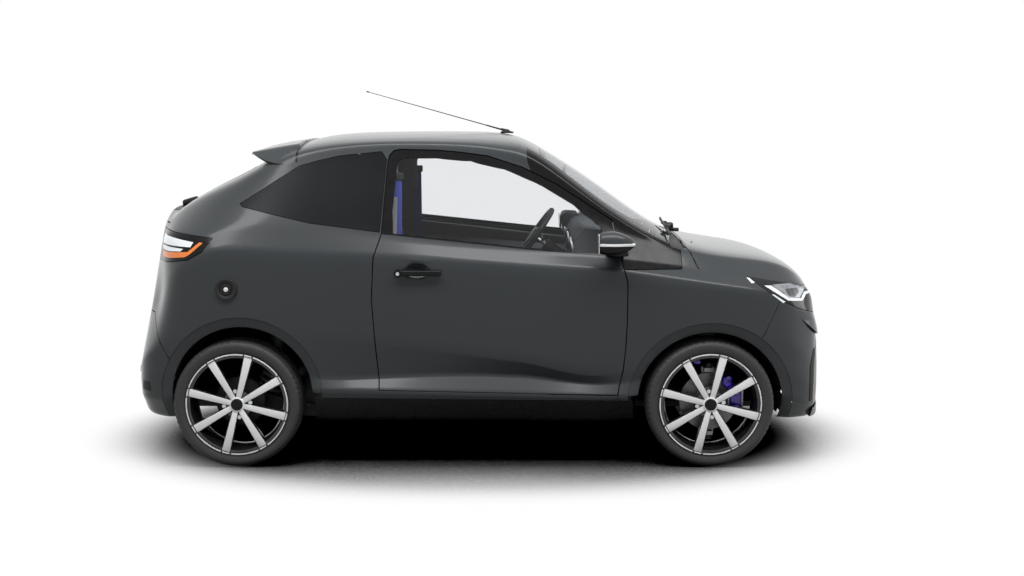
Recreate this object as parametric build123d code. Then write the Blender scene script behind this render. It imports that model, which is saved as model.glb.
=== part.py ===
from build123d import *
from math import cos, sin, radians
import os

# A two-seat microcar. Millimetres, +X forward, +Y to the car's left, +Z up.
# The origin is on the ground, below the middle of the car's outline.
os.makedirs("parts", exist_ok=True)

# ---- driving dimensions -------------------------------------------------
GROUND_CLEARANCE = 190      # ground to the floor pan
FLOOR_T = 25                # floor pan
WALL_SIDE = 70              # door and side panels, skin to trim
WALL_TOP = 30               # roof and bonnet
FRAME_T = 30                # door frame around its window
GLASS_T = 8                 # laminated and toughened panes
WHEELBASE = 2045
FRONT_AXLE_X = 999
REAR_AXLE_X = FRONT_AXLE_X - WHEELBASE
TRACK = 1290                # between the tyres' middle planes
TYRE_R = 277.5              # 165/45 on a 16 inch rim
TYRE_W = 165
RIM_SEAT_R = 203
RIM_FLANGE_R = 222
RIM_WALL = 8
SPOKES = 8
STUB_R = 18                 # wheel spindle
BRAKE_DISC_R = 125
FRONT_ARCH_R = 316
FRONT_ARCH_X = FRONT_AXLE_X
REAR_ARCH_R = 305
REAR_ARCH_X = REAR_AXLE_X + 22
REAR_ARCH_Z = 312
LINER_T = 5
STEER_RANGE = 32            # degrees each way, at the road wheels
DOOR_HINGE_X = 575
DOOR_HINGE_Y = 730
HINGE_PIN_R = 4
BONNET_HINGE = (950, 950)   # x, z of its axis
BONNET_HINGE_Y = 385
BONNET_HINGE_T = 12
TAILGATE_HINGE = (-999, 1298)
TAILGATE_HINGE_Y = 200
LID_PIN_R = 3
DOOR_HINGE_ZS = (735, 815)
DOOR_LUG_H = 20
DOOR_ARM_H = 12
HANDLE_Y = 776
TOW_X = 1500                # bottom of the round recess in the nose
TOW_Y = -330
TOW_Z = 300
TOW_BORE_R = 8
TOW_DEPTH = 40
FIREWALL_X = 690
FIREWALL_T = 20
SHELF_Z = 868               # top of the shelf that carries the bonnet's hinges
SHELF_T = 15
SHELF_HALF = 420
POST_X = (562, 664)         # the door post, inside the front wing
POST_Y = (592, 634)
POST_TOP = 845
PAN_HALF = 624              # the pan's half width between the wheels
PAN_TAIL_X = REAR_AXLE_X - 299
PAN_REAR_X = REAR_AXLE_X + 334   # where the pan narrows for the rear wheels
PAN_FRONT_X = FRONT_AXLE_X - 335
PAN_NOSE_X = FRONT_AXLE_X + 331
JACK_XS = (PAN_REAR_X + 112, PAN_FRONT_X - 114)
JACK_Y = 560
JACK_PAD_T = 6
BOOT_Z = 632
BOOT_T = 18
BOOT_FRONT_X = -560         # the upright behind the seats
SHUT_GAP = 8                # doors, bonnet and tailgate glass to their frames
DOOR_FRONT_GAP = 10         # the front edge swings forward as it turns in
DOOR_REAR_GAP = 12          # above the belt, where the frame leans in
BONNET_GAP = 10
TAILGATE_SIDE_GAP = 9
RUNNING_GAP = 0.3           # a turning piece to its pin or seat
SEAT_GAP = 0.3              # a fixed curved piece to what carries it

WHEEL_Y = TRACK / 2
HUB_Z = TYRE_R
FLOOR_TOP = GROUND_CLEARANCE + FLOOR_T

# ---- body lines: one row for each cross-section, half widths and heights --
#  x | floor y z | sill y z | edge y z | scoop y z | crease y z | shoulder y z
#    | belt y z | rail y z | roof y z | crown z
SECTIONS = [
    (-1512, (240, 260), (440, 262), (520, 300), (535, 350), (530, 400),
     (505, 440), (450, 468), (360, 482), (200, 488), 490),
    (-1470, (280, 222), (570, 225), (640, 300), (650, 380), (640, 460),
     (480, 640), (350, 820), (235, 965), (120, 1028), 1040),
    (-1405, (300, 205), (620, 210), (685, 300), (700, 400), (700, 520),
     (545, 720), (480, 960), (400, 1030), (250, 1075), 1088),
    (-1330, (300, 195), (640, 205), (712, 300), (722, 420), (724, 560),
     (685, 820), (618, 1005), (430, 1098), (290, 1126), 1136),
    (-1190, (300, 190), (650, 205), (735, 320), (742, 450), (745, 600),
     (735, 920), (692, 1005), (520, 1160), (360, 1200), 1214),
    (-1046, (330, 190), (650, 205), (742, 340), (748, 480), (750, 640),
     (745, 945), (690, 1050), (560, 1212), (420, 1264), 1284),
    (-880, (340, 190), (665, 205), (742, 345), (746, 450), (749, 600),
     (748, 935), (698, 1060), (580, 1292), (475, 1348), 1376),
    (-700, (600, 190), (690, 205), (738, 345), (728, 390), (742, 582),
     (750, 925), (703, 1052), (592, 1334), (505, 1396), 1434),
    (-430, (600, 190), (695, 205), (738, 340), (712, 393), (728, 553),
     (750, 918), (706, 1014), (594, 1362), (512, 1416), 1449),
    (-60, (600, 190), (695, 205), (740, 332), (712, 405), (728, 503),
     (750, 892), (706, 972), (594, 1352), (514, 1414), 1451),
    (120, (600, 190), (695, 204), (740, 328), (712, 400), (727, 477),
     (750, 880), (705, 958), (592, 1314), (518, 1396), 1440),
    (264, (600, 190), (695, 203), (740, 325), (712, 395), (726, 455),
     (750, 870), (703, 944), (597, 1256), (524, 1358), 1376),
    (560, (600, 190), (690, 200), (736, 318), (716, 360), (722, 400),
     (748, 853), (698, 918), (612, 1066), (560, 1122), 1208),
    (860, (340, 190), (660, 200), (735, 320), (740, 420), (744, 540),
     (746, 818), (692, 872), (645, 940), (520, 972), 988),
    (1150, (330, 195), (650, 200), (734, 320), (742, 430), (745, 560),
     (738, 776), (692, 829), (592, 898), (440, 915), 922),
    (1330, (320, 195), (630, 200), (705, 310), (715, 430), (712, 560),
     (690, 740), (650, 796), (560, 862), (400, 880), 888),
    (1440, (300, 195), (590, 200), (640, 260), (650, 350), (645, 450),
     (625, 650), (585, 758), (490, 778), (330, 808), 818),
    (1490, (260, 195), (490, 200), (550, 250), (560, 340), (552, 450),
     (520, 585), (450, 640), (350, 690), (200, 725), 738),
    (1512, (150, 200), (360, 203), (420, 245), (430, 330), (420, 400),
     (380, 470), (310, 530), (220, 575), (110, 598), 605),
]

# ---- side-view outlines (x, z) --------------------------------------------
DOOR = [(-427, 338), (594, 314), (617, 430), (626, 516), (632, 648), (632, 808),
        (600, 925), (572, 1066), (481, 1125), (333, 1220), (185, 1293), (37, 1341),
        (-186, 1366), (-372, 1368), (-390, 1330), (-413, 1013), (-445, 916),
        (-455, 739), (-443, 553)]
DOOR_WINDOW = [(-368, 1030), (-368, 1110), (-345, 1336), (-180, 1334), (-37, 1322),
               (111, 1286), (259, 1222), (407, 1134), (517, 1046), (480, 972)]
QUARTER_WINDOW = [(-1030, 1138), (-434, 1024), (-408, 1330), (-600, 1334), (-760, 1300)]
DOOR_FRONT_EDGE = [(617, 430), (626, 516), (632, 648), (632, 808), (600, 925), (572, 1066)]
DOOR_REAR_EDGE = [(-380, 1372), (-390, 1330), (-413, 1013), (-445, 916)]
SILL = [(-705, 100), (-705, 310), (662, 296), (662, 100)]
FENDER_REAR_X = 600         # front wing's rear edge, below and behind the door's
FENDER_X = 872              # top rear corner of the front wing
BONNET_SHUT = [(872, 870), (1152, 829), (1446, 773), (1600, 745)]
HEADLAMP = [(1144, 831), (1446, 773), (1540, 755), (1540, 650), (1492, 659),
            (1382, 691), (1293, 732)]
BUMPER_FRONT = [(1188, 100), (1188, 534), (1229, 600), (1293, 732), (1446, 773),
                (1600, 745), (1600, 100)]
TAIL_LAMP = [(-1500, 1028), (-1352, 1018), (-1137, 996), (-1224, 907), (-1369, 880),
             (-1500, 880)]
BUMPER_REAR = [(-1600, 100), (-1600, 640), (-1290, 640), (-1290, 100)]

# ---- plan-view outlines (x, half width) -----------------------------------
ROOF_PLAN = [(-988, 444), (-880, 475), (-700, 505), (-430, 512), (-60, 514),
             (120, 518), (264, 524)]
SCREEN_BASE = [(822, 630), (852, 420), (868, 0)]
SCREEN_PLAN = [(264, 524), (560, 560)] + SCREEN_BASE
HATCH_PLAN = [(-1012, 425), (-1190, 350), (-1380, 250), (-1470, 120)]
HATCH_LOW_Z = 1052
BONNET_REAR = [(955, 705), (906, 616), (908, 420), (922, 0)]
BONNET_REAR_GAP = 12


def prism_side(points, y_0, y_1):
    face = Face(Wire.make_polygon([Vector(x, y_0, z) for x, z in points], close=True))
    return Solid.extrude(face, Vector(0, y_1 - y_0, 0))


def prism_plan(points, z_0, z_1):
    face = Face(Wire.make_polygon([Vector(x, y, z_0) for x, y in points], close=True))
    return Solid.extrude(face, Vector(0, 0, z_1 - z_0))


def plan_both_sides(points, z_0, z_1):
    """A plan outline given for one half width, closed across the middle."""
    left = [(x, y) for x, y in points if y > 0]
    middle = [(x, 0) for x, y in points if y == 0]
    right = [(x, -y) for x, y in reversed(left)]
    return prism_plan(left + middle + right, z_0, z_1)


def grown(points, gap):
    """A side-view outline moved outwards by a gap, as points."""
    face = Face(Wire.make_polygon([Vector(x, z, 0) for x, z in points], close=True))
    wider = offset(face, amount=gap, kind=Kind.INTERSECTION)
    wire = wider.faces()[0].outer_wire()
    ordered = [edge @ 0 for edge in wire.order_edges()]
    return [(p.X, p.Y) for p in ordered]


def edge_strip(edge, gap):
    """A cutter beside a nearly upright door edge, on the right-hand side."""
    inside = -30 if gap > 0 else 30
    outline = [(x + gap, z) for x, z in edge] + [(x + inside, z) for x, z in reversed(edge)]
    return prism_side(outline, -900, 0)


def block(x_0, x_1, y_0, y_1, z_0, z_1):
    return Pos((x_0 + x_1) / 2, (y_0 + y_1) / 2, (z_0 + z_1) / 2) * Box(
        abs(x_1 - x_0), abs(y_1 - y_0), abs(z_1 - z_0))


def rod(start, end, radius):
    """A round bar between two points."""
    a, b = Vector(*start), Vector(*end)
    direction = b - a
    plane = Plane(origin=a, z_dir=direction.normalized())
    return plane * Cylinder(radius, direction.length,
                            align=(Align.CENTER, Align.CENTER, Align.MIN))


def y_disc(x, z, radius, y_0, y_1):
    return rod((x, min(y_0, y_1), z), (x, max(y_0, y_1), z), radius)


def mirrored(shape):
    return mirror(shape, about=Plane.XZ)


def ring_points(section, inset_y, inset_top, inset_low):
    """The closed cross-section, from the right floor edge over the roof to the left."""
    x, *pairs, crown = section
    half = []
    for index, (y, z) in enumerate(pairs):
        lift = inset_low if index == 0 else 0
        drop = inset_top if index >= len(pairs) - 2 else 0
        inward = 0 if index == 0 else inset_y
        half.append((max(y - inward, 25), z + lift - drop))
    right = [Vector(x, -y, z) for y, z in half]
    left = [Vector(x, y, z) for y, z in reversed(half)]
    return right + [Vector(x, 0, crown - inset_top)] + left


def facet(points):
    return Face(Wire.make_polygon(points, close=True))


def skin(rings):
    """A closed solid through rings of points, in flat facets."""
    count = len(rings[0])
    faces = []
    for rear, front in zip(rings, rings[1:]):
        for j in range(count):
            k = (j + 1) % count
            a, b, c, d = rear[j], front[j], front[k], rear[k]
            if j == count - 1 or j < count // 2:
                faces += [facet([a, b, c]), facet([a, c, d])]
            else:
                faces += [facet([a, b, d]), facet([b, c, d])]
    faces += [facet(rings[0]), facet(rings[-1])]
    return Solid(Shell(faces))


def hull(sections, inset_y=0, inset_top=0, inset_low=0):
    """The body's volume between its cross-sections."""
    return skin([ring_points(s, inset_y, inset_top, inset_low) for s in sections])


def inner_sections():
    """The sections that the trim and inner skins follow, closed short of both ends."""
    kept = SECTIONS[2:-2]
    first = (kept[0][0] + WALL_SIDE,) + kept[0][1:]
    last = (kept[-1][0] - WALL_SIDE / 2,) + kept[-1][1:]
    return [first] + kept[1:-1] + [last]


OUTER = hull(SECTIONS)
INNER = hull(inner_sections(), WALL_SIDE, WALL_TOP, FLOOR_T)
PANE_CORE = hull(SECTIONS[1:-1], GLASS_T, GLASS_T, 0)
SHELL = OUTER - INNER
FRAME_CORE = hull(inner_sections(), FRAME_T, FRAME_T, 0) & block(-700, 700, -900, 900, 985, 1500)
PANE = OUTER - PANE_CORE
SLIVER = 30000               # offcuts smaller than this are left out
FAR = 900                    # beyond the body's side
LINER_Y = WHEEL_Y - TYRE_R - 20   # the wheelhouses' inner walls


def solids_of(shape):
    return [s for s in shape.solids() if s.volume > SLIVER]


def write(name, shape):
    parts = solids_of(shape)
    whole = parts[0] if len(parts) == 1 else Compound(parts)
    export_step(whole, f"parts/{name}.step")


def write_pair(name, right):
    """A right-hand piece and its mirror image on the left."""
    write(name + "_right", right)
    write(name + "_left", mirrored(right))


def write_both(name, right):
    """The same two pieces in one node."""
    write(name, Compound(solids_of(right) + solids_of(mirrored(right))))


# ---- cutters shared by the panels ------------------------------------------
def wheel_openings():
    """The four wheel arches, through the side panels."""
    front = y_disc(FRONT_ARCH_X, HUB_Z, FRONT_ARCH_R, -FAR, -LINER_Y)
    rear = y_disc(REAR_ARCH_X, REAR_ARCH_Z, REAR_ARCH_R, -FAR, -LINER_Y)
    tyre_room = y_disc(REAR_AXLE_X, HUB_Z, TYRE_R + 12, -FAR, -LINER_Y)
    right = front + rear + tyre_room
    return right + mirrored(right)


ARCHES = wheel_openings()
door_prism = prism_side(DOOR, -FAR, 0)
door_gap_prism = prism_side(grown(DOOR, SHUT_GAP), -FAR, 0)
door_front_strip = edge_strip(DOOR_FRONT_EDGE, DOOR_FRONT_GAP)
door_rear_strip = edge_strip(DOOR_REAR_EDGE, -DOOR_REAR_GAP)
window_prism = prism_side(DOOR_WINDOW, -FAR, 0)
quarter_prism = prism_side(QUARTER_WINDOW, -FAR, 0)
roof_prism = plan_both_sides(ROOF_PLAN, 1200, 1500)
screen_prism = plan_both_sides(SCREEN_PLAN, 900, 1420)
hatch_frame_prism = plan_both_sides(
    [(ROOF_PLAN[0][0], HATCH_PLAN[0][1] + TAILGATE_SIDE_GAP + 10)]
    + [(x, y + TAILGATE_SIDE_GAP) for x, y in HATCH_PLAN[1:]] + [(-1560, 120)],
    HATCH_LOW_Z - SHUT_GAP, 1400)
hatch_prism = plan_both_sides(HATCH_PLAN + [(-1560, 110)], HATCH_LOW_Z, 1400)
cowl_front = [(x - BONNET_REAR_GAP, y) for x, y in BONNET_REAR[1:]]
cowl_prism = prism_plan(
    SCREEN_BASE + [(x, -y) for x, y in reversed(SCREEN_BASE[:-1])]
    + [(x, -y) for x, y in cowl_front] + list(reversed(cowl_front[:-1])), 880, 1100)
above_shut_line = prism_side([(700, 1200), (700, 900)] + BONNET_SHUT + [(1600, 1200)],
                             -FAR, FAR)
lamp_prism = prism_side(HEADLAMP, -FAR, -300)
tail_prism = prism_side(TAIL_LAMP, -FAR, -330)
sill_prism = prism_side(SILL, -FAR, -400)
bumper_front_prism = prism_side(BUMPER_FRONT, -FAR, FAR)
bumper_rear_prism = prism_side(BUMPER_REAR, -FAR, FAR)
RIGHT_HALF = block(-1600, 1600, -FAR, 0, 0, 1500)


# ---- floor ------------------------------------------------------------------
def floor_pan():
    """One pressed pan: wide between the axles, narrow between the wheels, on four jack pads."""
    narrow = LINER_Y - LINER_T
    points = [(PAN_TAIL_X, narrow), (PAN_REAR_X, narrow), (PAN_REAR_X, PAN_HALF),
              (PAN_FRONT_X, PAN_HALF), (PAN_FRONT_X, narrow), (PAN_NOSE_X, narrow)]
    pan = plan_both_sides(points, GROUND_CLEARANCE, FLOOR_TOP)
    for x in JACK_XS:
        for y in (-JACK_Y, JACK_Y):
            pan += block(x - 40, x + 40, y - 25, y + 25, GROUND_CLEARANCE - JACK_PAD_T,
                         GROUND_CLEARANCE)
    return pan


PAN = floor_pan()


# ---- side panels --------------------------------------------------------------
def bonnet_zone(gap):
    """Everything above the shut line and ahead of the cowl, drawn in by a gap."""
    rear = [(x + gap, y) for x, y in BONNET_REAR]
    corner = [(1600, 760), (rear[0][0] - 6, 760)]
    line = [(x, z + gap) for x, z in BONNET_SHUT]
    above = prism_side([(700, 1200), (700, line[0][1] + 25)] + line + [(1600, 1200)], -FAR, FAR)
    return plan_both_sides(corner + rear, 700, 1100) & above


def side_panel():
    """Quarter, roof rail, windscreen pillar and the strip below the door, in one."""
    side = SHELL & RIGHT_HALF
    side -= prism_side([(FENDER_REAR_X, 0), (FENDER_REAR_X, 840), (FENDER_X, 862),
                        (FENDER_X, 1500), (1700, 1500), (1700, 0)], -FAR, FAR)
    side -= door_gap_prism
    side -= door_front_strip + door_rear_strip
    side -= quarter_prism
    side -= roof_prism
    side -= screen_prism
    side -= hatch_frame_prism
    side -= sill_prism
    side -= bumper_rear_prism
    side -= tail_prism
    side -= ARCHES
    side -= block(-1700, 1700, -590, 590, 0, 600)
    side -= block(-1700, -1250, -430, 430, 0, HATCH_LOW_Z)
    side -= cowl_prism
    return side - PAN


def fender():
    """Front wing, from the door to the bumper, below the bonnet."""
    zone = prism_side([(FENDER_REAR_X, 190), (FENDER_REAR_X, 840), (FENDER_X, 862),
                       (FENDER_X, 1000), (980, 1000), BONNET_SHUT[1], (1293, 807), (1293, 732),
                       (1229, 600), (1188, 534), (1188, 190)], -FAR, -400)
    wing = SHELL & zone - bonnet_zone(0) - cowl_prism - screen_prism
    wing -= door_gap_prism
    wing -= door_front_strip
    wing -= sill_prism
    wing -= lamp_prism
    wing -= bumper_front_prism
    wing -= ARCHES
    return wing - PAN


def sill():
    skirt = SHELL & sill_prism & block(-1700, 1700, -FAR, -PAN_HALF - 0.5, 0, 400)
    return skirt - ARCHES


def front_bumper():
    """Nose, bumper and grille in one moulding, with a socket for the towing eye."""
    nose = SHELL & bumper_front_prism
    nose -= above_shut_line
    nose -= lamp_prism + mirrored(lamp_prism)
    nose -= ARCHES
    nose -= rod((TOW_X, TOW_Y, TOW_Z), (TOW_X + 60, TOW_Y, TOW_Z), 22)
    nose -= rod((TOW_X - TOW_DEPTH, TOW_Y, TOW_Z), (TOW_X + 60, TOW_Y, TOW_Z), TOW_BORE_R)
    return nose - PAN


def rear_bumper():
    moulding = SHELL & bumper_rear_prism
    moulding -= ARCHES
    return moulding - PAN


def tail_panel():
    """The panel below the tailgate glass, with a flat place for the number plate."""
    zone = block(-1700, -1250, -430, 430, 640, HATCH_LOW_Z - SHUT_GAP)
    panel = SHELL & zone
    panel -= tail_prism + mirrored(tail_prism)
    panel -= hatch_frame_prism
    return panel


def roof_panel():
    """Roof and tailgate header, with the tailgate's hinge brackets."""
    x, z = TAILGATE_HINGE
    y = TAILGATE_HINGE_Y
    bracket = block(x, x + 22, y - 9, y, z - 5, z + 5) + y_disc(x, z, 5, y - 9, y)
    bracket += y_disc(x, z, LID_PIN_R, y - 9, y + 21)
    return (SHELL & roof_prism) + bracket + mirrored(bracket)


# x | underside z, edge z, shoulder z, crown z
SPOILER = [(-792, 1292, 1396, 1419, 1429), (-905, 1316, 1368, 1391, 1402),
           (-1000, 1338, 1345, 1357, 1365)]
SPOILER_HALF = 505


def spoiler():
    """A roof wing over the tailgate's header, tapering to its trailing edge."""
    rings = []
    for x, low, edge, shoulder, crown in SPOILER:
        right = [(-SPOILER_HALF, low), (-SPOILER_HALF, edge), (-300, shoulder)]
        left = [(-y, z) for y, z in reversed(right)]
        rings.append([Vector(x, y, z) for y, z in right + [(0, crown)] + left])
    return skin(rings) - OUTER


def headlamp():
    lamp = SHELL & lamp_prism
    lamp -= above_shut_line
    return lamp


def tail_lamp():
    return SHELL & tail_prism - hatch_frame_prism


def windscreen():
    return PANE & screen_prism - roof_prism


def cowl():
    """The black trough below the windscreen, where the wipers turn."""
    low = hull(SECTIONS[1:-1], 12, 12, 0) - hull(SECTIONS[1:-1], 24, 24, 0)
    return low & cowl_prism


def across(x, z, radius, y_0, y_1):
    """A bar across the car and its mirror image."""
    bar = y_disc(x, z, radius, y_0, y_1)
    return bar + mirrored(bar)


def bonnet():
    """One panel, notched and bored for the two hinge brackets at its rear edge."""
    x, z = BONNET_HINGE
    lid = SHELL & bonnet_zone(BONNET_GAP)
    half = BONNET_HINGE_T / 2 + SHUT_GAP
    low, high = BONNET_HINGE_Y - half, BONNET_HINGE_Y + half
    notch = prism_side([(x + 13, z), (x + 13, z - 50), (x - 60, z - 50), (x - 60, z - 19),
                        (x - 36, z), (x - 12, z + 6)], low, high)
    notch += y_disc(x, z, 12, low, high)
    lid -= notch + mirrored(notch)
    return lid - across(x, z, LID_PIN_R + RUNNING_GAP, low - 10, high + 10)


def bonnet_brackets():
    """Fixed brackets on the shelf ahead of the bulkhead, with their pins."""
    x, z = BONNET_HINGE
    half = BONNET_HINGE_T / 2
    low, high = BONNET_HINGE_Y - half, BONNET_HINGE_Y + half
    plate = block(x - 6, x + 6, low, high, SHELF_Z, z)
    plate += y_disc(x, z, 6, low, high)
    plate += y_disc(x, z, LID_PIN_R, low - SHUT_GAP - 6, high + SHUT_GAP + 6)
    return plate + mirrored(plate)


def hatch_glass():
    """A frameless glass tailgate with its pull handle."""
    x, z = TAILGATE_HINGE
    y = TAILGATE_HINGE_Y
    pane = PANE & hatch_prism
    lug = prism_side([(x, z + 5), (x, z - 5), (x - 34, z - 27), (x - 34, z - 16)], y + 1, y + 21)
    lug += y_disc(x, z, 5, y + 1, y + 21)
    lug -= y_disc(x, z, LID_PIN_R + RUNNING_GAP, y, y + 30)
    pane = pane + lug + mirrored(lug)
    grip = prism_side([(-1436, 1098), (-1402, 1098), (-1392, 1124), (-1396, 1138),
                       (-1420, 1136)], -28, 28)
    foot = block(-1418, -1394, -20, 20, 1084, 1110)
    return pane + grip + foot


def quarter_glass():
    inside = [(x, z) for x, z in grown(QUARTER_WINDOW, -SEAT_GAP)]
    return (PANE & prism_side(inside, -FAR, 0)) - door_rear_strip


# ---- doors --------------------------------------------------------------------
def door_lugs():
    """The door's halves of its two hinges: eyes that hang on the post's pins."""
    lugs = []
    for z in DOOR_HINGE_ZS:
        eye = Pos(DOOR_HINGE_X, -DOOR_HINGE_Y, z) * Cylinder(HINGE_PIN_R + 3, DOOR_LUG_H)
        strap = block(DOOR_HINGE_X - 34, DOOR_HINGE_X, -DOOR_HINGE_Y - 6, -DOOR_HINGE_Y + 6,
                      z - DOOR_LUG_H / 2, z + DOOR_LUG_H / 2)
        bore = Pos(DOOR_HINGE_X, -DOOR_HINGE_Y, z) * Cylinder(HINGE_PIN_R + RUNNING_GAP, DOOR_LUG_H + 2)
        lugs.append(eye + strap - bore)
    return lugs


def hinge_notch(z):
    """Room in the door's front edge for the post's arm, as the door swings."""
    low, high = z - DOOR_LUG_H / 2 - 4, z + DOOR_LUG_H / 2 + DOOR_ARM_H + 8
    ring = Pos(DOOR_HINGE_X, -DOOR_HINGE_Y, (low + high) / 2) * Cylinder(
        HINGE_PIN_R + 7, high - low)
    front = block(DOOR_HINGE_X - 16, 660, -DOOR_HINGE_Y - 8, -600, low, high)
    keep = block(DOOR_HINGE_X - 60, 660, -FAR, -DOOR_HINGE_Y - 8, low, high)
    return ring + front - keep


def door():
    """Outer skin, frame and trim, 70 mm thick, with its window cut through."""
    leaf = SHELL & door_prism
    leaf -= block(-600, 700, -570, 0, 0, 1500)
    leaf -= window_prism + FRAME_CORE
    for z in DOOR_HINGE_ZS:
        leaf -= hinge_notch(z)
    for lug in door_lugs():
        leaf += lug
    bar = block(-360, -156, -HANDLE_Y, -HANDLE_Y + 22, 842, 866)
    posts = block(-352, -322, -HANDLE_Y + 10, -735, 844, 864)
    posts += block(-190, -164, -HANDLE_Y + 10, -735, 844, 864)
    return leaf + bar + posts


def door_glass():
    inside = grown(DOOR_WINDOW, -SEAT_GAP)
    return PANE & prism_side(inside, -FAR, 0)


def mirror_housing():
    """Door mirror on its short arm."""
    shell = prism_plan([(510, -872), (520, -780), (640, -776), (662, -812), (640, -868)],
                       936, 1034)
    shell &= prism_side([(505, 946), (520, 936), (640, 948), (664, 980), (620, 1026),
                         (530, 1034), (508, 1020)], -FAR, 0)
    arm = prism_plan([(545, -790), (545, -640), (590, -640), (600, -790)], 934, 962)
    arm -= OUTER
    return shell + arm


# ---- wheels --------------------------------------------------------------------
RIM_HALF = 80
RIM_LIP_T = 7
SPOKE_OUT = 62             # spokes' face to the wheel's middle plane
HUB_R = 72


def tyre_profile():
    """Half widths and radii of the tyre's section, bead to tread."""
    half = TYRE_W / 2
    bead = RIM_HALF - RIM_LIP_T - RUNNING_GAP
    outline = [(RIM_SEAT_R + SEAT_GAP, bead), (RIM_FLANGE_R + 2, bead), (254, half),
               (TYRE_R, half - 18)]
    side = [(y, r) for r, y in outline]
    return side + [(-y, r) for y, r in reversed(side)]


def ring_of(profile):
    """A ring turned about the Y axis from (y, r) points."""
    face = Face(Wire.make_polygon([Vector(r, y, 0) for y, r in profile], close=True))
    return revolve(face, axis=Axis.Y)


def tyre():
    return ring_of(tyre_profile())


def rim(front):
    """Barrel, eight spokes and hub, with the brake disc bolted behind the hub."""
    r, wall, half = RIM_SEAT_R, RIM_WALL, RIM_HALF
    flange = RIM_FLANGE_R
    seat = half - RIM_LIP_T
    barrel = ring_of([(-half, flange), (-seat, flange), (-seat, r), (seat, r),
                      (seat, flange), (half, flange), (half, r - wall), (-half, r - wall)])
    face_y = -SPOKE_OUT
    hub = y_disc(0, 0, HUB_R, face_y + 6, face_y + 44)
    spoke_face = Face(Wire.make_polygon([Vector(50, face_y + 4, -13), Vector(50, face_y + 4, 13),
                                         Vector(r - 2, face_y - 4, 19),
                                         Vector(r - 2, face_y - 4, -19)], close=True))
    spoke = Solid.extrude(spoke_face, Vector(0, 34, 0))
    wheel = barrel + hub
    for index in range(SPOKES):
        wheel += Rot(0, 360 * (index + 0.5) / SPOKES + 10, 0) * spoke
    if front:
        wheel += y_disc(0, 0, BRAKE_DISC_R, face_y + 60, face_y + 72)
    else:
        wheel += y_disc(0, 0, BRAKE_DISC_R - 15, face_y + 60, face_y + 84)
    wheel += y_disc(0, 0, 40, face_y + 40, face_y + 62)
    wheel -= y_disc(0, 0, STUB_R + RUNNING_GAP, face_y + 26, face_y + 140)
    return wheel


def place_wheel(shape, x):
    return Pos(x, -WHEEL_Y, HUB_Z) * shape


# ---- front knuckles and suspension (right side, about the wheel's centre) ------
BALL_R = 8
BALL_Z = 168               # ends of the ball pins above and below the hub
ARM_W = 18
STRUT_Y = 170              # inboard of the wheel's middle plane
STRUT_TOP_Z = 722


def knuckle():
    """Upright with its spindle, steering arm, ball pins and brake calliper."""
    plate = block(-28, 28, 22, 48, -148, 148)
    for side in (-1, 1):
        plate += block(-20, 20, -14, 48, side * 132, side * 148)
        plate += rod((0, 0, side * 146), (0, 0, side * BALL_Z), BALL_R)
    plate += y_disc(0, 0, 44, 14, 40)
    plate += y_disc(0, 0, STUB_R, -30, 30)
    plate += block(-120, -20, 30, 46, -64, -50)
    calliper = block(84, 150, -16, 30, -52, 52)
    calliper -= y_disc(0, 0, BRAKE_DISC_R + 6, -7, 16)
    plate += calliper
    plate += block(20, 90, 22, 38, -40, 40)
    return plate


def front_arm(side):
    """The arm whose eye turns on a ball pin, above or below the hub."""
    low, high = side * (BALL_Z - 16), side * (BALL_Z - 2)
    reach = STRUT_Y if side > 0 else WHEEL_Y - 290
    arm = block(-ARM_W, ARM_W, 0, reach, low, high)
    arm += Pos(0, 0, (low + high) / 2) * Cylinder(ARM_W, abs(high - low))
    arm -= Pos(0, 0, (low + high) / 2) * Cylinder(BALL_R + RUNNING_GAP, 40)
    return arm


def front_strut():
    top = STRUT_TOP_Z - HUB_Z
    strut = rod((0, STRUT_Y, BALL_Z - 16), (0, STRUT_Y, top), 24)
    strut += rod((0, STRUT_Y, 215), (0, STRUT_Y, top - 40), 42)
    return strut


def front_suspension():
    """Lower arms on their crossmember, and the struts under their tower brace."""
    at_wheel = Pos(FRONT_AXLE_X, -WHEEL_Y, HUB_Z)
    right = at_wheel * (front_arm(1) + front_strut())
    lower = at_wheel * front_arm(-1)
    brace = block(FRONT_AXLE_X - 30, FRONT_AXLE_X + 30, -WHEEL_Y + STRUT_Y - 34,
                  WHEEL_Y - STRUT_Y + 34, STRUT_TOP_Z - 4, STRUT_TOP_Z + 12)
    cross = block(FRONT_AXLE_X - 60, FRONT_AXLE_X + 60, -300, 300,
                  HUB_Z - BALL_Z + 2, GROUND_CLEARANCE)
    upper = right + brace + mirrored(right)
    return Compound(solids_of(upper) + solids_of(lower + cross + mirrored(lower)))


REAR_ARM_Y = (WHEEL_Y - 150, WHEEL_Y - 100)   # inboard of the tyre
COIL_Y = WHEEL_Y - 133
COIL_LOW = (REAR_AXLE_X + 81, 262)
COIL_HIGH = (REAR_AXLE_X + 174, BOOT_Z)


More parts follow.
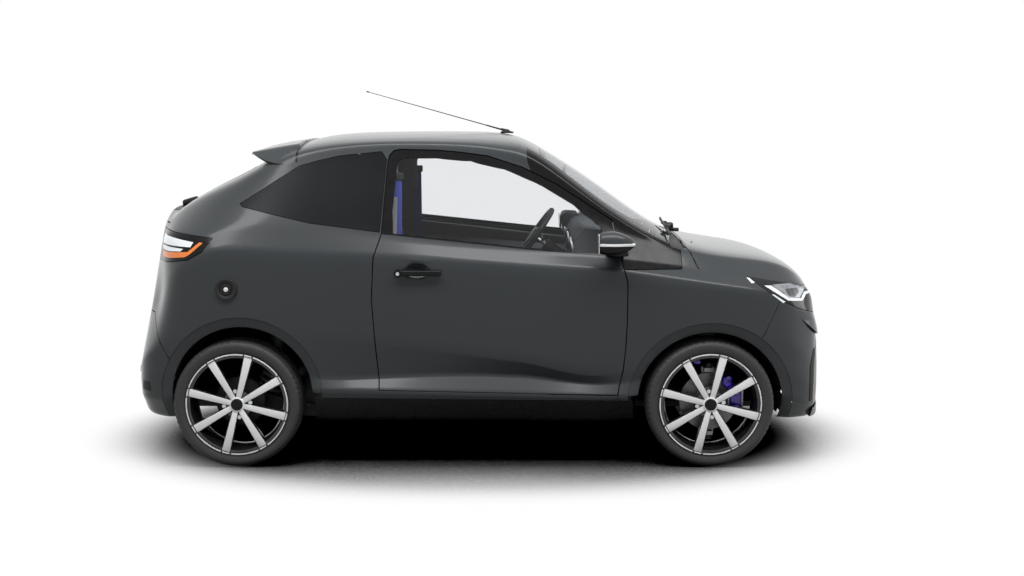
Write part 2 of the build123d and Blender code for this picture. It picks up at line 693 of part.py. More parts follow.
def rear_suspension():
    """Trailing arms joined by a beam, with their spindles and coil-over dampers."""
    arm = prism_side([(REAR_AXLE_X - 40, 250), (REAR_AXLE_X - 40, 306),
                      (REAR_AXLE_X + 60, 306), (PAN_REAR_X, FLOOR_TOP),
                      (PAN_REAR_X, GROUND_CLEARANCE), (REAR_AXLE_X + 226, GROUND_CLEARANCE)],
                     -REAR_ARM_Y[1], -REAR_ARM_Y[0])
    arm += y_disc(REAR_AXLE_X, HUB_Z, 46, -WHEEL_Y + 30, -REAR_ARM_Y[0])
    arm += y_disc(REAR_AXLE_X, HUB_Z, STUB_R, -WHEEL_Y - 30, -WHEEL_Y + 40)
    (x_0, z_0), (x_1, z_1) = COIL_LOW, COIL_HIGH
    low, high = Vector(x_0, -COIL_Y, z_0), Vector(x_1, -COIL_Y, z_1)
    damper = rod(tuple(low), tuple(high + (high - low) * 0.1), 20)
    damper += rod(tuple(low + (high - low) * 0.3), tuple(low + (high - low) * 0.86), 40)
    damper &= block(REAR_AXLE_X - 254, REAR_AXLE_X + 346, -600, -400, 200, BOOT_Z)
    beam = block(REAR_AXLE_X + 121, REAR_AXLE_X + 161, -REAR_ARM_Y[0], REAR_ARM_Y[0],
                 FLOOR_TOP, 262)
    side = arm + damper
    return side + beam + mirrored(side)


def boot_floor():
    """Floor over the rear wheels and the upright behind the seats."""
    deck = block(PAN_TAIL_X, BOOT_FRONT_X, -700, 700, BOOT_Z, BOOT_Z + BOOT_T)
    upright = block(BOOT_FRONT_X - 20, BOOT_FRONT_X, -700, 700, FLOOR_TOP, BOOT_Z)
    tray = (deck + upright) & INNER
    tray -= block(-1700, 0, -700, -PAN_HALF, 0, 340) + block(-1700, 0, PAN_HALF, 700, 0, 340)
    return tray - SHELL


def door_arms():
    """The post's halves of one door's two hinges, each with its pin."""
    arms = []
    for z in DOOR_HINGE_ZS:
        base = z + DOOR_LUG_H / 2 + 2
        arm = block(DOOR_HINGE_X - 6, DOOR_HINGE_X + 6, -DOOR_HINGE_Y, -POST_Y[0] - 10,
                    base, base + DOOR_ARM_H)
        arm += Pos(DOOR_HINGE_X, -DOOR_HINGE_Y, base + DOOR_ARM_H / 2) * Cylinder(
            HINGE_PIN_R + 2, DOOR_ARM_H)
        arm += rod((DOOR_HINGE_X, -DOOR_HINGE_Y, z - DOOR_LUG_H / 2),
                   (DOOR_HINGE_X, -DOOR_HINGE_Y, base + 2), HINGE_PIN_R)
        arms.append(arm)
    return arms[0] + arms[1]


def firewall():
    """Bulkhead between the cabin and the engine, with the door posts."""
    wall = block(FIREWALL_X, FIREWALL_X + FIREWALL_T, -700, 700,
                 FLOOR_TOP, 930) & INNER
    post = block(POST_X[0], POST_X[1], -POST_Y[1], -POST_Y[0], FLOOR_TOP, POST_TOP)
    post += block(POST_X[1], FIREWALL_X, -POST_Y[1], -POST_Y[0], 440, POST_TOP)
    wall -= block(600, 800, -700, -PAN_HALF - 16, 0, 430) + block(600, 800, PAN_HALF + 16, 700, 0, 430)
    wall += block(FIREWALL_X, BONNET_HINGE[0] + 10, -SHELF_HALF, SHELF_HALF,
                  SHELF_Z - SHELF_T, SHELF_Z)
    wall = wall + post + mirrored(post) - liner_room() - SHELL
    arms = door_arms()
    return wall + arms + mirrored(arms) + bonnet_brackets()


def liner_room():
    right = y_disc(FRONT_ARCH_X, HUB_Z, FRONT_ARCH_R + LINER_T, -FAR, -LINER_Y + LINER_T)
    return right + mirrored(right)


def front_liner():
    """Wheelhouse: a plastic arch with its inner wall, open for the strut."""
    outer = y_disc(FRONT_ARCH_X, HUB_Z, FRONT_ARCH_R + LINER_T, -682, -LINER_Y + LINER_T)
    outer -= y_disc(FRONT_ARCH_X, HUB_Z, FRONT_ARCH_R, -FAR, -LINER_Y)
    outer &= block(FRONT_AXLE_X - 399, FRONT_AXLE_X + 401, -FAR, 0, FLOOR_TOP, 700)
    outer -= rod((FRONT_AXLE_X, -WHEEL_Y + STRUT_Y, 400),
                 (FRONT_AXLE_X, -WHEEL_Y + STRUT_Y, 700), 52)
    return outer - SHELL


def rear_liner():
    """The rear wheelhouse covers the top and back of the wheel only."""
    outer = y_disc(REAR_ARCH_X, REAR_ARCH_Z, REAR_ARCH_R + LINER_T, -682, -LINER_Y + LINER_T)
    outer -= y_disc(REAR_ARCH_X, REAR_ARCH_Z, REAR_ARCH_R, -FAR, -LINER_Y)
    outer &= block(REAR_AXLE_X - 354, REAR_AXLE_X + 61, -FAR, 0, 240, BOOT_Z)
    outer -= y_disc(REAR_AXLE_X, HUB_Z, TYRE_R + 12, -FAR, -LINER_Y)
    return outer - SHELL


# ---- cabin -----------------------------------------------------------------------
STEER_Y = 370
STEER_CENTRE = (252, 920)
STEER_TILT = 35
STEER_R = 172
COLUMN_R = 30
COLUMN_BORE_R = 12


def column_point(along):
    """A point on the column's axis, ahead of the wheel's centre."""
    tilt = radians(STEER_TILT)
    return (STEER_CENTRE[0] + along * cos(tilt), STEER_Y, STEER_CENTRE[1] - along * sin(tilt))


def steering_column():
    tube = rod(column_point(70), column_point(620), COLUMN_R)
    tube -= rod(column_point(60), column_point(170), COLUMN_BORE_R + RUNNING_GAP)
    return tube & block(0, FIREWALL_X, 0, 700, 300, 1000)


def steering_wheel():
    """Rim, three spokes and boss on the shaft that turns in the column."""
    rim_ring = Torus(STEER_R - 14, 14)
    boss = Cylinder(48, 34)
    wheel = rim_ring + boss
    for angle in (0, 180, 270):
        wheel += Rot(0, 0, angle) * Pos((STEER_R - 14) / 2, 0, 0) * Box(STEER_R - 24, 30, 12)
    shaft = Pos(0, 0, -80) * Cylinder(COLUMN_BORE_R, 130)
    tilt = Rot(0, -(90 - STEER_TILT), 0)
    return Pos(STEER_CENTRE[0], STEER_Y, STEER_CENTRE[1]) * tilt * (wheel + shaft)


DASH = [(412, 985), (436, 1030), (560, 1016), (FIREWALL_X, 972), (FIREWALL_X, 720),
        (560, 690), (450, 760), (408, 880)]


def dashboard():
    top = prism_side(DASH, -560, 560)
    hood = prism_side([(380, 1000), (400, 1046), (470, 1044), (470, 960), (400, 940)], 250, 490)
    top += hood
    top -= rod(column_point(0), column_point(700), COLUMN_R + SEAT_GAP)
    top &= INNER
    return top


SEAT_Y = 330
SEAT_HALF = 235
SEAT = [(-400, 400), (150, 400), (188, 440), (176, 515), (60, 512), (-262, 492), (-300, 560),
        (-440, 1000), (-452, 1130), (-490, 1160), (-530, 1140), (-520, 1000), (-420, 520)]


def seat():
    side = prism_side(SEAT, -SEAT_Y - SEAT_HALF, -SEAT_Y + SEAT_HALF)
    head = block(-600, -400, -SEAT_Y - SEAT_HALF, -SEAT_Y - 130, 1010, 1200)
    head += block(-600, -400, -SEAT_Y + 130, -SEAT_Y + SEAT_HALF, 1010, 1200)
    return side - head


def seat_frame():
    return block(-360, 130, -SEAT_Y - 190, -SEAT_Y + 190, FLOOR_TOP, 400)


def console():
    """Tunnel between the seats with the selector."""
    return block(-300, 500, -60, 60, FLOOR_TOP, 480) + Pos(250, 0, 520) * Cylinder(
        18, 90)


def engine_block():
    return block(FRONT_AXLE_X - 159, FRONT_AXLE_X + 171, -210, 210, FLOOR_TOP, 680)


# ---- small outside pieces ----------------------------------------------------------
def antenna():
    foot = prism_side([(92, 1430), (152, 1430), (150, 1444), (112, 1462), (92, 1452)], -11, 11)
    mast = rod((112, 0, 1452), (-551, 0, 1637), 2.5)
    return (foot + mast) - OUTER


def fuel_cap():
    return y_disc(-1073, 782, 47, -757, -700) - OUTER


def wiper():
    """Parked across the foot of the windscreen, on its spindle in the trough."""
    spindle = rod((884, -160, 940), (884, -160, 1016), 11) - hull(SECTIONS[1:-1], 12, 12, 0)
    arm = rod((884, -160, 1010), (848, -340, 1022), 6)
    blade = rod((838, -500, 1006), (858, 60, 1032), 5)
    return spindle + (arm + blade - OUTER)


def exhaust():
    box = block(-1330, -1120, -120, 220, GROUND_CLEARANCE - 42, GROUND_CLEARANCE)
    pipe = rod((-1200, 160, GROUND_CLEARANCE - 21), (-1440, 160, GROUND_CLEARANCE - 21), 15)
    down = rod((-1200, -60, GROUND_CLEARANCE - 21), (760, -60, GROUND_CLEARANCE - 21), 15)
    return box + pipe + down


# ---- write the nodes -----------------------------------------------------------------
write("floor_pan", PAN)
write_pair("body_side", side_panel())
write_both("fenders", fender())
write_both("front_liners", front_liner())
write_both("rear_liners", rear_liner())
write_both("sills", sill())
write("front_bumper", front_bumper())
write("rear_bumper", rear_bumper())
write("tail_panel", tail_panel())
write("roof_panel", roof_panel())
write("spoiler", spoiler())
write_both("headlamps", headlamp())
write_both("tail_lamps", tail_lamp())
write("windscreen", windscreen())
write("cowl", cowl())
write("bonnet", bonnet())
write("hatch_glass", hatch_glass())
write_both("quarter_glass", quarter_glass())
write_pair("door", door())
write_pair("door_glass", door_glass())
write_pair("door_mirror", mirror_housing())
for place, axle_x in (("front", FRONT_AXLE_X), ("rear", REAR_AXLE_X)):
    write_pair(f"tyre_{place}", place_wheel(tyre(), axle_x))
    write_pair(f"rim_{place}", place_wheel(rim(place == "front"), axle_x))
write_pair("knuckle", place_wheel(knuckle(), FRONT_AXLE_X))
write("front_suspension", front_suspension())
write("rear_suspension", rear_suspension())
write("boot_floor", boot_floor())
write("firewall", firewall())
write("steering_column", steering_column())
write("steering_wheel", steering_wheel())
write("dashboard", dashboard())
write_both("seats", seat())
write_both("seat_frames", seat_frame())
write("console", console())
write("engine_block", engine_block())
write("antenna", antenna())
write("fuel_cap", fuel_cap())
write("wiper", wiper())
write("exhaust", exhaust())
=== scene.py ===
import math
from math import cos, pi, radians, sin

import bmesh
import bpy
from mathutils import Matrix, Vector


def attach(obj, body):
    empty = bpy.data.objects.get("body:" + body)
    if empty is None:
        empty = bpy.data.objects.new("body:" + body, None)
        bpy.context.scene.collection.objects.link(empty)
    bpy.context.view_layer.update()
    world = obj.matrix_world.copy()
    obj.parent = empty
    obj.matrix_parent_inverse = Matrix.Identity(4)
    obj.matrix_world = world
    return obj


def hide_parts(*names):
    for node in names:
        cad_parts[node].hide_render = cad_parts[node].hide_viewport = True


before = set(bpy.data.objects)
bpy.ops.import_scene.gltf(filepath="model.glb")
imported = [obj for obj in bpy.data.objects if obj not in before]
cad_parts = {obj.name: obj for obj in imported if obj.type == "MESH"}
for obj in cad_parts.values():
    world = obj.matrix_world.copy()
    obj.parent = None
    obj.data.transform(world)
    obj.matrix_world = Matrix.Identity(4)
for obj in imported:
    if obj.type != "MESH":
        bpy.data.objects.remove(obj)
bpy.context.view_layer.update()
bpy.context.scene.view_settings.view_transform = "Standard"

# ---- Camera, lamps and floor ------------------------------------------------
# The car stands side-on on a white studio floor, seen from a little above its
# bonnet. A long soft lamp high on its right lights it, and three weaker ones fill
# in from the front, the far side and overhead.
CAMERA_PLACE = (0.1415, -6.22, 1.45)
CAMERA_DIP = 6.9
LENS = 45.6
bpy.ops.object.select_all(action="DESELECT")
bpy.ops.object.camera_add(location=CAMERA_PLACE, rotation=(radians(90 - CAMERA_DIP), 0, 0))
bpy.context.scene.camera = bpy.context.object
bpy.context.object.data.lens = LENS


def area_lamp(name, place, target, size, power, in_gloss=True):
    """A rectangular soft lamp, which gloss may mirror or not."""
    bpy.ops.object.light_add(type="AREA", location=place)
    lamp = bpy.context.object
    lamp.name = name
    lamp.rotation_euler = (Vector(target) - Vector(place)).to_track_quat("-Z", "Y").to_euler()
    lamp.data.shape = "RECTANGLE"
    lamp.data.size, lamp.data.size_y = size
    lamp.data.energy = power
    lamp.visible_glossy = in_gloss


area_lamp("lamp_high_side", (0, -2.6, 4.5), (0, -0.5, 0.8), (7, 1.2), 300)
area_lamp("lamp_overhead", (0, 0.4, 4.6), (0, 0, 0), (7, 3), 20, in_gloss=False)
area_lamp("lamp_front", (6, -0.8, 1.8), (1.2, -0.2, 0.6), (3, 2), 70)
area_lamp("lamp_far_side", (-0.8, 3.4, 4.0), (0, 0.5, 0.8), (7, 1.6), 170, in_gloss=False)


def math_node(nodes, links, operation, first, second):
    """Joins two sockets, or a number and a socket, by one sum."""
    node = nodes.new("ShaderNodeMath")
    node.operation = operation
    for value, socket in zip((first, second), node.inputs):
        if isinstance(value, float):
            socket.default_value = value
        else:
            links.new(value, socket)
    return node.outputs[0]


def eased(nodes, links, value, low, high):
    """A soft step from 0 to 1 between two levels of a value."""
    step = nodes.new("ShaderNodeMapRange")
    step.interpolation_type = "SMOOTHSTEP"
    step.inputs["From Min"].default_value, step.inputs["From Max"].default_value = low, high
    links.new(value, step.inputs["Value"])
    return step.outputs["Result"]


def mixed_surface(nodes, links, share, first, second):
    """Sends a mix of two shaders to the material's output."""
    mix = nodes.new("ShaderNodeMixShader")
    links.new(share, mix.inputs["Fac"])
    links.new(first.outputs[0], mix.inputs[1])
    links.new(second.outputs[0], mix.inputs[2])
    links.new(mix.outputs[0], nodes["Material Output"].inputs["Surface"])


def white_to_camera(nodes, links, strength):
    """Plain white to the camera, to mirrors and through glass, and hardly any light on the object."""
    path = nodes.new("ShaderNodeLightPath").outputs
    seen = math_node(nodes, links, "MAXIMUM", path["Is Camera Ray"], path["Is Glossy Ray"])
    seen = math_node(nodes, links, "MAXIMUM", seen, path["Is Transmission Ray"])
    level = nodes.new("ShaderNodeMapRange")
    level.inputs["To Min"].default_value, level.inputs["To Max"].default_value = 0.06, 1.0
    links.new(seen, level.inputs["Value"])
    links.new(level.outputs[0], strength)


def studio_world():
    world = bpy.data.worlds.new("studio")
    bpy.context.scene.world = world
    world.use_nodes = True
    nodes, links = world.node_tree.nodes, world.node_tree.links
    sky = nodes["Background"]
    sky.inputs["Color"].default_value = (1, 1, 1, 1)
    white_to_camera(nodes, links, sky.inputs["Strength"])


def floor_material():
    """White paint with a painted shade, darker close to the car where ambient occlusion finds it, that turns
    to plain white further out.
    """
    material = bpy.data.materials.new("floor_white_painted_shade")
    material.use_nodes = True
    nodes, links = material.node_tree.nodes, material.node_tree.links
    shader = nodes["Principled BSDF"]
    shader.inputs["Roughness"].default_value = 0.9
    shader.inputs["Specular IOR Level"].default_value = 0.0
    seen_white = nodes.new("ShaderNodeMix")
    seen_white.data_type = "RGBA"
    seen_white.inputs["A"].default_value = (0.9, 0.9, 0.9, 1)
    seen_white.inputs["B"].default_value = (0.07, 0.07, 0.07, 1)
    links.new(nodes.new("ShaderNodeLightPath").outputs["Is Diffuse Ray"], seen_white.inputs["Factor"])
    # Painted shade: ambient occlusion darkens the floor's colour under and beside the car.
    painted_contact_shade = nodes.new("ShaderNodeAmbientOcclusion")
    painted_contact_shade.samples = 8
    painted_contact_shade.inputs["Distance"].default_value = 0.9
    shaded = nodes.new("ShaderNodeMix")
    shaded.data_type = "RGBA"
    shaded.blend_type = "MULTIPLY"
    shaded.inputs["Factor"].default_value = 1.0
    links.new(seen_white.outputs["Result"], shaded.inputs["A"])
    links.new(eased(nodes, links, painted_contact_shade.outputs["AO"], 0.42, 1.0), shaded.inputs["B"])
    links.new(shaded.outputs["Result"], shader.inputs["Base Color"])
    flatten = nodes.new("ShaderNodeMapping")
    flatten.inputs["Scale"].default_value = (0.5, 0.72, 0)
    links.new(nodes.new("ShaderNodeTexCoord").outputs["Object"], flatten.inputs["Vector"])
    distance = nodes.new("ShaderNodeVectorMath")
    distance.operation = "LENGTH"
    links.new(flatten.outputs["Vector"], distance.inputs[0])
    blank = nodes.new("ShaderNodeEmission")
    white_to_camera(nodes, links, blank.inputs["Strength"])
    mixed_surface(nodes, links, eased(nodes, links, distance.outputs["Value"], 0.7, 0.98), shader, blank)
    return material


studio_world()
bpy.ops.mesh.primitive_plane_add(size=60, location=(0, 0, 0))
floor = bpy.context.object
floor.name = "studio_floor"
floor.data.materials.append(floor_material())

# ---- Body shell ---------------------------------------------------------------
# The outer skin that all the painted panels, lamps and panes are cut from: thin
# painted ABS panels over a steel frame, with sharp lines at shoulder and sill.
#  x | floor y z | sill y z | edge y z | scoop y z | crease y z | shoulder y z
#    | belt y z | rail y z | roof y z | crown z        (half widths, mm)
SECTIONS = [
    (-1509, (240, 260), (440, 262), (520, 300), (535, 350), (530, 400),
     (505, 440), (450, 468), (360, 482), (200, 488), 490),
    (-1470, (280, 222), (570, 225), (640, 300), (650, 380), (640, 460),
     (480, 640), (350, 820), (235, 965), (120, 1028), 1040),
    (-1405, (300, 205), (620, 210), (685, 300), (700, 400), (700, 520),
     (545, 720), (480, 960), (400, 1030), (250, 1075), 1088),
    (-1330, (300, 195), (640, 205), (712, 300), (722, 420), (724, 560),
     (685, 820), (618, 1005), (430, 1098), (290, 1126), 1136),
    (-1190, (300, 190), (650, 205), (735, 320), (742, 450), (745, 600),
     (735, 920), (692, 1005), (520, 1160), (360, 1200), 1214),
    (-1046, (330, 190), (650, 205), (742, 340), (748, 480), (750, 640),
     (745, 945), (690, 1050), (560, 1212), (420, 1264), 1284),
    (-880, (340, 190), (665, 205), (742, 345), (746, 450), (749, 600),
     (748, 935), (698, 1060), (580, 1292), (475, 1348), 1376),
    (-700, (600, 190), (690, 205), (738, 345), (722, 390), (745, 582),
     (750, 925), (703, 1052), (592, 1334), (505, 1396), 1434),
    (-430, (600, 190), (695, 205), (738, 340), (702, 393), (735, 553),
     (750, 918), (706, 1014), (594, 1362), (512, 1416), 1449),
    (-60, (600, 190), (695, 205), (740, 332), (701, 405), (736, 503),
     (750, 892), (706, 972), (594, 1352), (514, 1414), 1451),
    (120, (600, 190), (695, 204), (740, 328), (701, 400), (736, 477),
     (750, 880), (705, 958), (592, 1314), (518, 1396), 1440),
    (264, (600, 190), (695, 203), (740, 325), (702, 395), (735, 455),
     (750, 870), (703, 944), (597, 1256), (524, 1358), 1376),
    (560, (600, 190), (690, 200), (736, 318), (711, 360), (727, 400),
     (748, 853), (698, 918), (612, 1066), (560, 1122), 1208),
    (860, (340, 190), (660, 200), (735, 320), (740, 420), (744, 540),
     (746, 818), (692, 872), (645, 940), (520, 972), 988),
    (1150, (330, 195), (650, 200), (734, 320), (742, 430), (745, 560),
     (738, 776), (692, 829), (592, 898), (440, 915), 922),
    (1330, (320, 195), (630, 200), (705, 310), (715, 430), (712, 560),
     (690, 740), (650, 796), (560, 862), (400, 880), 888),
    (1440, (300, 195), (590, 200), (640, 260), (650, 350), (645, 450),
     (625, 650), (585, 758), (490, 778), (330, 808), 818),
    (1490, (260, 195), (490, 200), (550, 250), (560, 340), (552, 450),
     (520, 585), (450, 640), (350, 690), (200, 725), 738),
    (1504, (150, 200), (360, 203), (420, 245), (430, 330), (420, 400),
     (380, 470), (310, 530), (220, 575), (110, 598), 605),
]
#             floor sill edge scoop crease shoulder belt rail roof crown
LINE_SHARPNESS = (0.9, 0.6, 0.9, 0.7, 0.95, 0.95, 0.6, 0.35, 0.0, 0.0)
SCOOP, CREASE, RAIL = 3, 4, 7
DOOR_REAR, DOOR_FRONT, BONNET_REAR, NEARLY_END = -0.75, 0.6, 0.8, 1.5
BONNET_RAIL_SHARPNESS, END_SHARPNESS = 0.95, 0.7


def deselect():
    if bpy.context.object and bpy.context.object.mode != "OBJECT":
        bpy.ops.object.mode_set(mode="OBJECT")
    bpy.ops.object.select_all(action="DESELECT")


def make_active(obj):
    deselect()
    obj.select_set(True)
    bpy.context.view_layer.objects.active = obj


def apply_modifiers(obj):
    make_active(obj)
    for modifier in list(obj.modifiers):
        bpy.ops.object.modifier_apply(modifier=modifier.name)


def section_ring(section):
    """The points of one cross-section, over the car from the right to the left."""
    x, *pairs, crown = section
    right = [Vector((x, -y, z)) / 1000 for y, z in pairs]
    left = [Vector((x, y, z)) / 1000 for y, z in reversed(pairs)]
    return right + [Vector((x, 0, crown)) / 1000] + left


def loft(rings):
    """A closed form through one cross-section after another, left in edit mode."""
    deselect()
    bpy.ops.mesh.primitive_circle_add(vertices=len(rings[0]), fill_type="NGON")
    form = bpy.context.object
    for vertex, place in zip(form.data.vertices, rings[0]):
        vertex.co = place
    bpy.ops.object.mode_set(mode="EDIT")
    bpy.ops.mesh.select_all(action="SELECT")
    for before, after in zip(rings, rings[1:]):
        bpy.ops.mesh.extrude_region_move()
        mesh = bmesh.from_edit_mesh(form.data)
        for vertex in [v for v in mesh.verts if v.select]:
            nearest = min(range(len(before)), key=lambda i: (before[i] - vertex.co).length)
            vertex.co = after[nearest]
        bmesh.update_edit_mesh(form.data)
    bpy.ops.mesh.select_all(action="SELECT")
    bpy.ops.mesh.normals_make_consistent(inside=False)
    return form


def line_sharpness(rings, a, b):
    """How sharp the edge between two of the shell's points stays when it is smoothed."""
    if abs(a.x - b.x) <= 0.001:
        return END_SHARPNESS if min(abs(a.x), abs(b.x)) > NEARLY_END else 0.0
    index = next(i for ring in rings for i, point in enumerate(ring) if (point - a).length < 1e-5)
    line = min(index, len(rings[0]) - 1 - index)
    if line == RAIL and min(a.x, b.x) > BONNET_REAR:
        return BONNET_RAIL_SHARPNESS
    if line in (SCOOP, CREASE) and DOOR_REAR < (a.x + b.x) / 2 < DOOR_FRONT:
        return 1.0
    return LINE_SHARPNESS[line]


def smoothed(form):
    smooth = form.modifiers.new("smooth", "SUBSURF")
    smooth.levels = smooth.render_levels = 3


def body_shell():
    """The smooth skin, pulled out again to where its cross-sections are."""
    rings = [section_ring(section) for section in SECTIONS]
    shell = loft(rings)
    mesh = bmesh.from_edit_mesh(shell.data)
    sharp = mesh.edges.layers.float.new("crease_edge")
    for edge in mesh.edges:
        edge[sharp] = line_sharpness(rings, *(vertex.co for vertex in edge.verts))
    bmesh.update_edit_mesh(shell.data)
    bpy.ops.object.mode_set(mode="OBJECT")
    smoothed(shell)
    wanted = [vertex.co.copy() for vertex in shell.data.vertices]
    for _ in range(2):
        view = shell.evaluated_get(bpy.context.evaluated_depsgraph_get())
        reached = [view.data.vertices[i].co.copy() for i in range(len(wanted))]
        for vertex, aim, now in zip(shell.data.vertices, wanted, reached):
            if abs(aim.x) < NEARLY_END:
                vertex.co += (aim - now) * 0.8
        shell.data.update()
        bpy.context.view_layer.update()
    apply_modifiers(shell)
    bpy.ops.object.shade_smooth()
    return shell


def blank_material(name):
    material = bpy.data.materials.new(name)
    material.use_nodes = True
    return material


KEPT_FACE, CUT_FACE = blank_material("kept_face"), blank_material("cut_face")
RIGHT_SIDE = (-1000, -300)
FULL_WIDTH = (-1000, 1000)
TAIL_END, NOSE_END = (-1700, -1300), (1300, 1600)


def outline_block(points, low, high, across="Y"):
    """A cutter: an outline (mm) carried across the car ("Y"), along it ("X") or upwards ("Z")."""
    deselect()
    bpy.ops.mesh.primitive_circle_add(vertices=len(points), fill_type="NGON")
    tool = bpy.context.object
    for vertex, (u, v) in zip(tool.data.vertices, points):
        vertex.co = Vector({"X": (low, u, v), "Y": (u, low, v), "Z": (u, v, low)}[across]) / 1000
    bpy.ops.object.mode_set(mode="EDIT")
    bpy.ops.mesh.select_all(action="SELECT")
    reach = [(high - low) / 1000 if axis == across else 0 for axis in "XYZ"]
    bpy.ops.mesh.extrude_region_move(TRANSFORM_OT_translate={"value": reach})
    bpy.ops.mesh.select_all(action="SELECT")
    bpy.ops.mesh.normals_make_consistent(inside=False)
    bpy.ops.object.mode_set(mode="OBJECT")
    mark_as_cutter(tool)
    return tool


def mark_as_cutter(tool):
    tool.data.materials.clear()
    tool.data.materials.append(KEPT_FACE)
    tool.data.materials.append(CUT_FACE)
    for face in tool.data.polygons:
        face.material_index = 1
    tool.hide_render = True
    tool.hide_viewport = False


def copied(obj, name):
    """A copy with a mesh of its own."""
    twin = obj.copy()
    twin.data = obj.data.copy()
    twin.name = name
    twin.hide_render = False
    bpy.context.scene.collection.objects.link(twin)
    return twin


def boolean(obj, tool, operation):
    cut = obj.modifiers.new("cut", "BOOLEAN")
    cut.solver = "MANIFOLD"
    cut.operation = operation
    cut.object = tool
    apply_modifiers(obj)


def patch(name, base, inside=(), outside=()):
    """The part of the skin inside some cutters and outside others, without its cut walls."""
    piece = copied(base, name)
    for tool in inside:
        boolean(piece, tool, "INTERSECT")
    for tool in outside:
        boolean(piece, tool, "DIFFERENCE")
    mesh = bmesh.new()
    mesh.from_mesh(piece.data)
    walls = [f for f in mesh.faces if f.material_index == 1]
    bmesh.ops.delete(mesh, geom=walls, context="FACES")
    bmesh.ops.remove_doubles(mesh, verts=mesh.verts, dist=0.0004)
    mesh.to_mesh(piece.data)
    mesh.free()
    piece.data.materials.clear()
    return piece


def thicken(piece, wall, rounding=0.002, outwards=0.0):
    """Gives a patch its wall, inwards, and rounds the panel's edges."""
    if outwards:
        lift = piece.modifiers.new("lift", "DISPLACE")
        lift.mid_level = 0
        lift.strength = outwards
    solid = piece.modifiers.new("wall", "SOLIDIFY")
    solid.thickness = wall
    solid.offset = -1
    solid.use_even_offset = True
    solid.thickness_clamp = 2
    if rounding:
        bevel = piece.modifiers.new("rounding", "BEVEL")
        bevel.width = rounding
        bevel.segments = 2
        bevel.limit_method = "ANGLE"
        bevel.angle_limit = radians(50)
        bevel.use_clamp_overlap = True
    apply_modifiers(piece)
    bpy.ops.object.shade_smooth_by_angle(angle=radians(28))
    if abs(outwards) < 0.002:
        shade_as_skin(piece)


def shade_as_skin(piece):
    """Lets a panel's outer face catch the light as the whole body skin does, up to its cut edge."""
    flow = piece.modifiers.new("flow", "DATA_TRANSFER")
    flow.object = shell
    flow.use_loop_data = True
    flow.data_types_loops = {"CUSTOM_NORMAL"}
    flow.loop_mapping = "POLYINTERP_NEAREST"
    flow.use_max_distance = True
    flow.max_distance = 0.0025
    apply_modifiers(piece)


def mirrored(piece, name):
    """The left-hand copy of a right-hand piece."""
    twin = copied(piece, name)
    flowing = twin.data.has_custom_normals
    if flowing:
        make_active(twin)
        bpy.ops.mesh.customdata_custom_splitnormals_clear()
    twin.data.transform(Matrix.Scale(-1, 4, (0, 1, 0)))
    twin.data.flip_normals()
    if flowing:
        shade_as_skin(twin)
    return twin


def dress(piece, body, material, slot, *replaced):
    """Gives a finished piece its material, the body that it rides on and its nodes."""
    piece.data.materials.clear()
    piece.data.materials.append(material)
    for face in piece.data.polygons:
        face.material_index = 0
    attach(piece, body)
    if replaced:
        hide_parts(*replaced)


shell = body_shell()
shell.name = "shell_form"
shell.data.materials.append(KEPT_FACE)
shell.data.materials.append(CUT_FACE)
shell.hide_render = True
right_block = outline_block([(-1700, -100), (1700, -100), (1700, 1700), (-1700, 1700)], -1000, 0)
shell_right = copied(shell, "shell_right_form")
boolean(shell_right, right_block, "INTERSECT")
shell_right.hide_render = True


# ---- Painted panels -------------------------------------------------------------
# Roof, quarters, wings, wing corners and bonnet: painted panels with narrow shut
# lines, clipped and bonded to the steel frame, and black trims beside the screen.
DOOR = [(-427, 345), (594, 323), (617, 430), (626, 516), (632, 648), (632, 808),
        (600, 925), (572, 1066), (481, 1125), (333, 1220), (185, 1293), (37, 1341),
        (-80, 1357), (-186, 1366), (-340, 1369), (-366, 1364), (-384, 1345), (-392, 1310),
        (-413, 1013), (-445, 916), (-455, 739), (-443, 553)]
QUARTER_WINDOW = [(-1034, 1140), (-1020, 1126), (-720, 1058), (-422, 1020), (-397, 1330),
                  (-420, 1364), (-600, 1346), (-690, 1326), (-775, 1303)]
BELT = [(-1000, 0), (1000, 0), (1000, 868), (600, 911), (516, 920), (214, 947),
        (-369, 1009), (-500, 1022), (-1000, 1090)]
SILL = [(-722, 100), (-705, 306), (662, 293), (674, 100)]
FENDER = [(600, 150), (600, 867), (872, 866), (872, 1000), (980, 1000), (1152, 829),
          (1293, 807), (1291, 729), (1227, 598), (1186, 532), (1186, 150)]
BUMPER_FRONT = [(1190, 100), (1190, 533), (1231, 599), (1295, 731), (1446, 773),
                (1600, 745), (1600, 100)]
BUMPER_REAR = [(-1600, 100), (-1600, 652), (-1440, 652), (-1404, 600), (-1330, 470),
               (-1316, 330), (-1316, 100)]
HEADLAMP = [(1144, 833), (1446, 775), (1600, 748), (1600, 640), (1492, 655),
            (1382, 691), (1293, 732)]
TAIL_LAMP = [(-1600, 1020), (-1352, 1018), (-1137, 996), (-1180, 938), (-1240, 905),
             (-1369, 886), (-1600, 880)]
BONNET_LINE = [(700, 1200), (700, 905), (872, 873), (1152, 832), (1446, 777), (1600, 750),
               (1600, 1200)]
ROOF_PLAN = [(-990, 444), (-880, 475), (-700, 505), (-430, 512), (-60, 514),
             (120, 518), (262, 524)]
SCREEN_PLAN = [(264, 522), (560, 558), (822, 628), (852, 420), (868, 0)]
COWL_PLAN = [(826, 640), (870, 640), (896, 610), (898, 420), (910, 0)]
BONNET_PLAN = [(1600, 800), (940, 800), (950, 700), (901, 614), (903, 420), (915, 0)]
HATCH_PLAN = [(-1014, 430), (-1190, 352), (-1380, 252), (-1472, 120), (-1560, 110)]
ARCHES = {"front": (999, 277, 316), "rear": (-1024, 312, 305)}


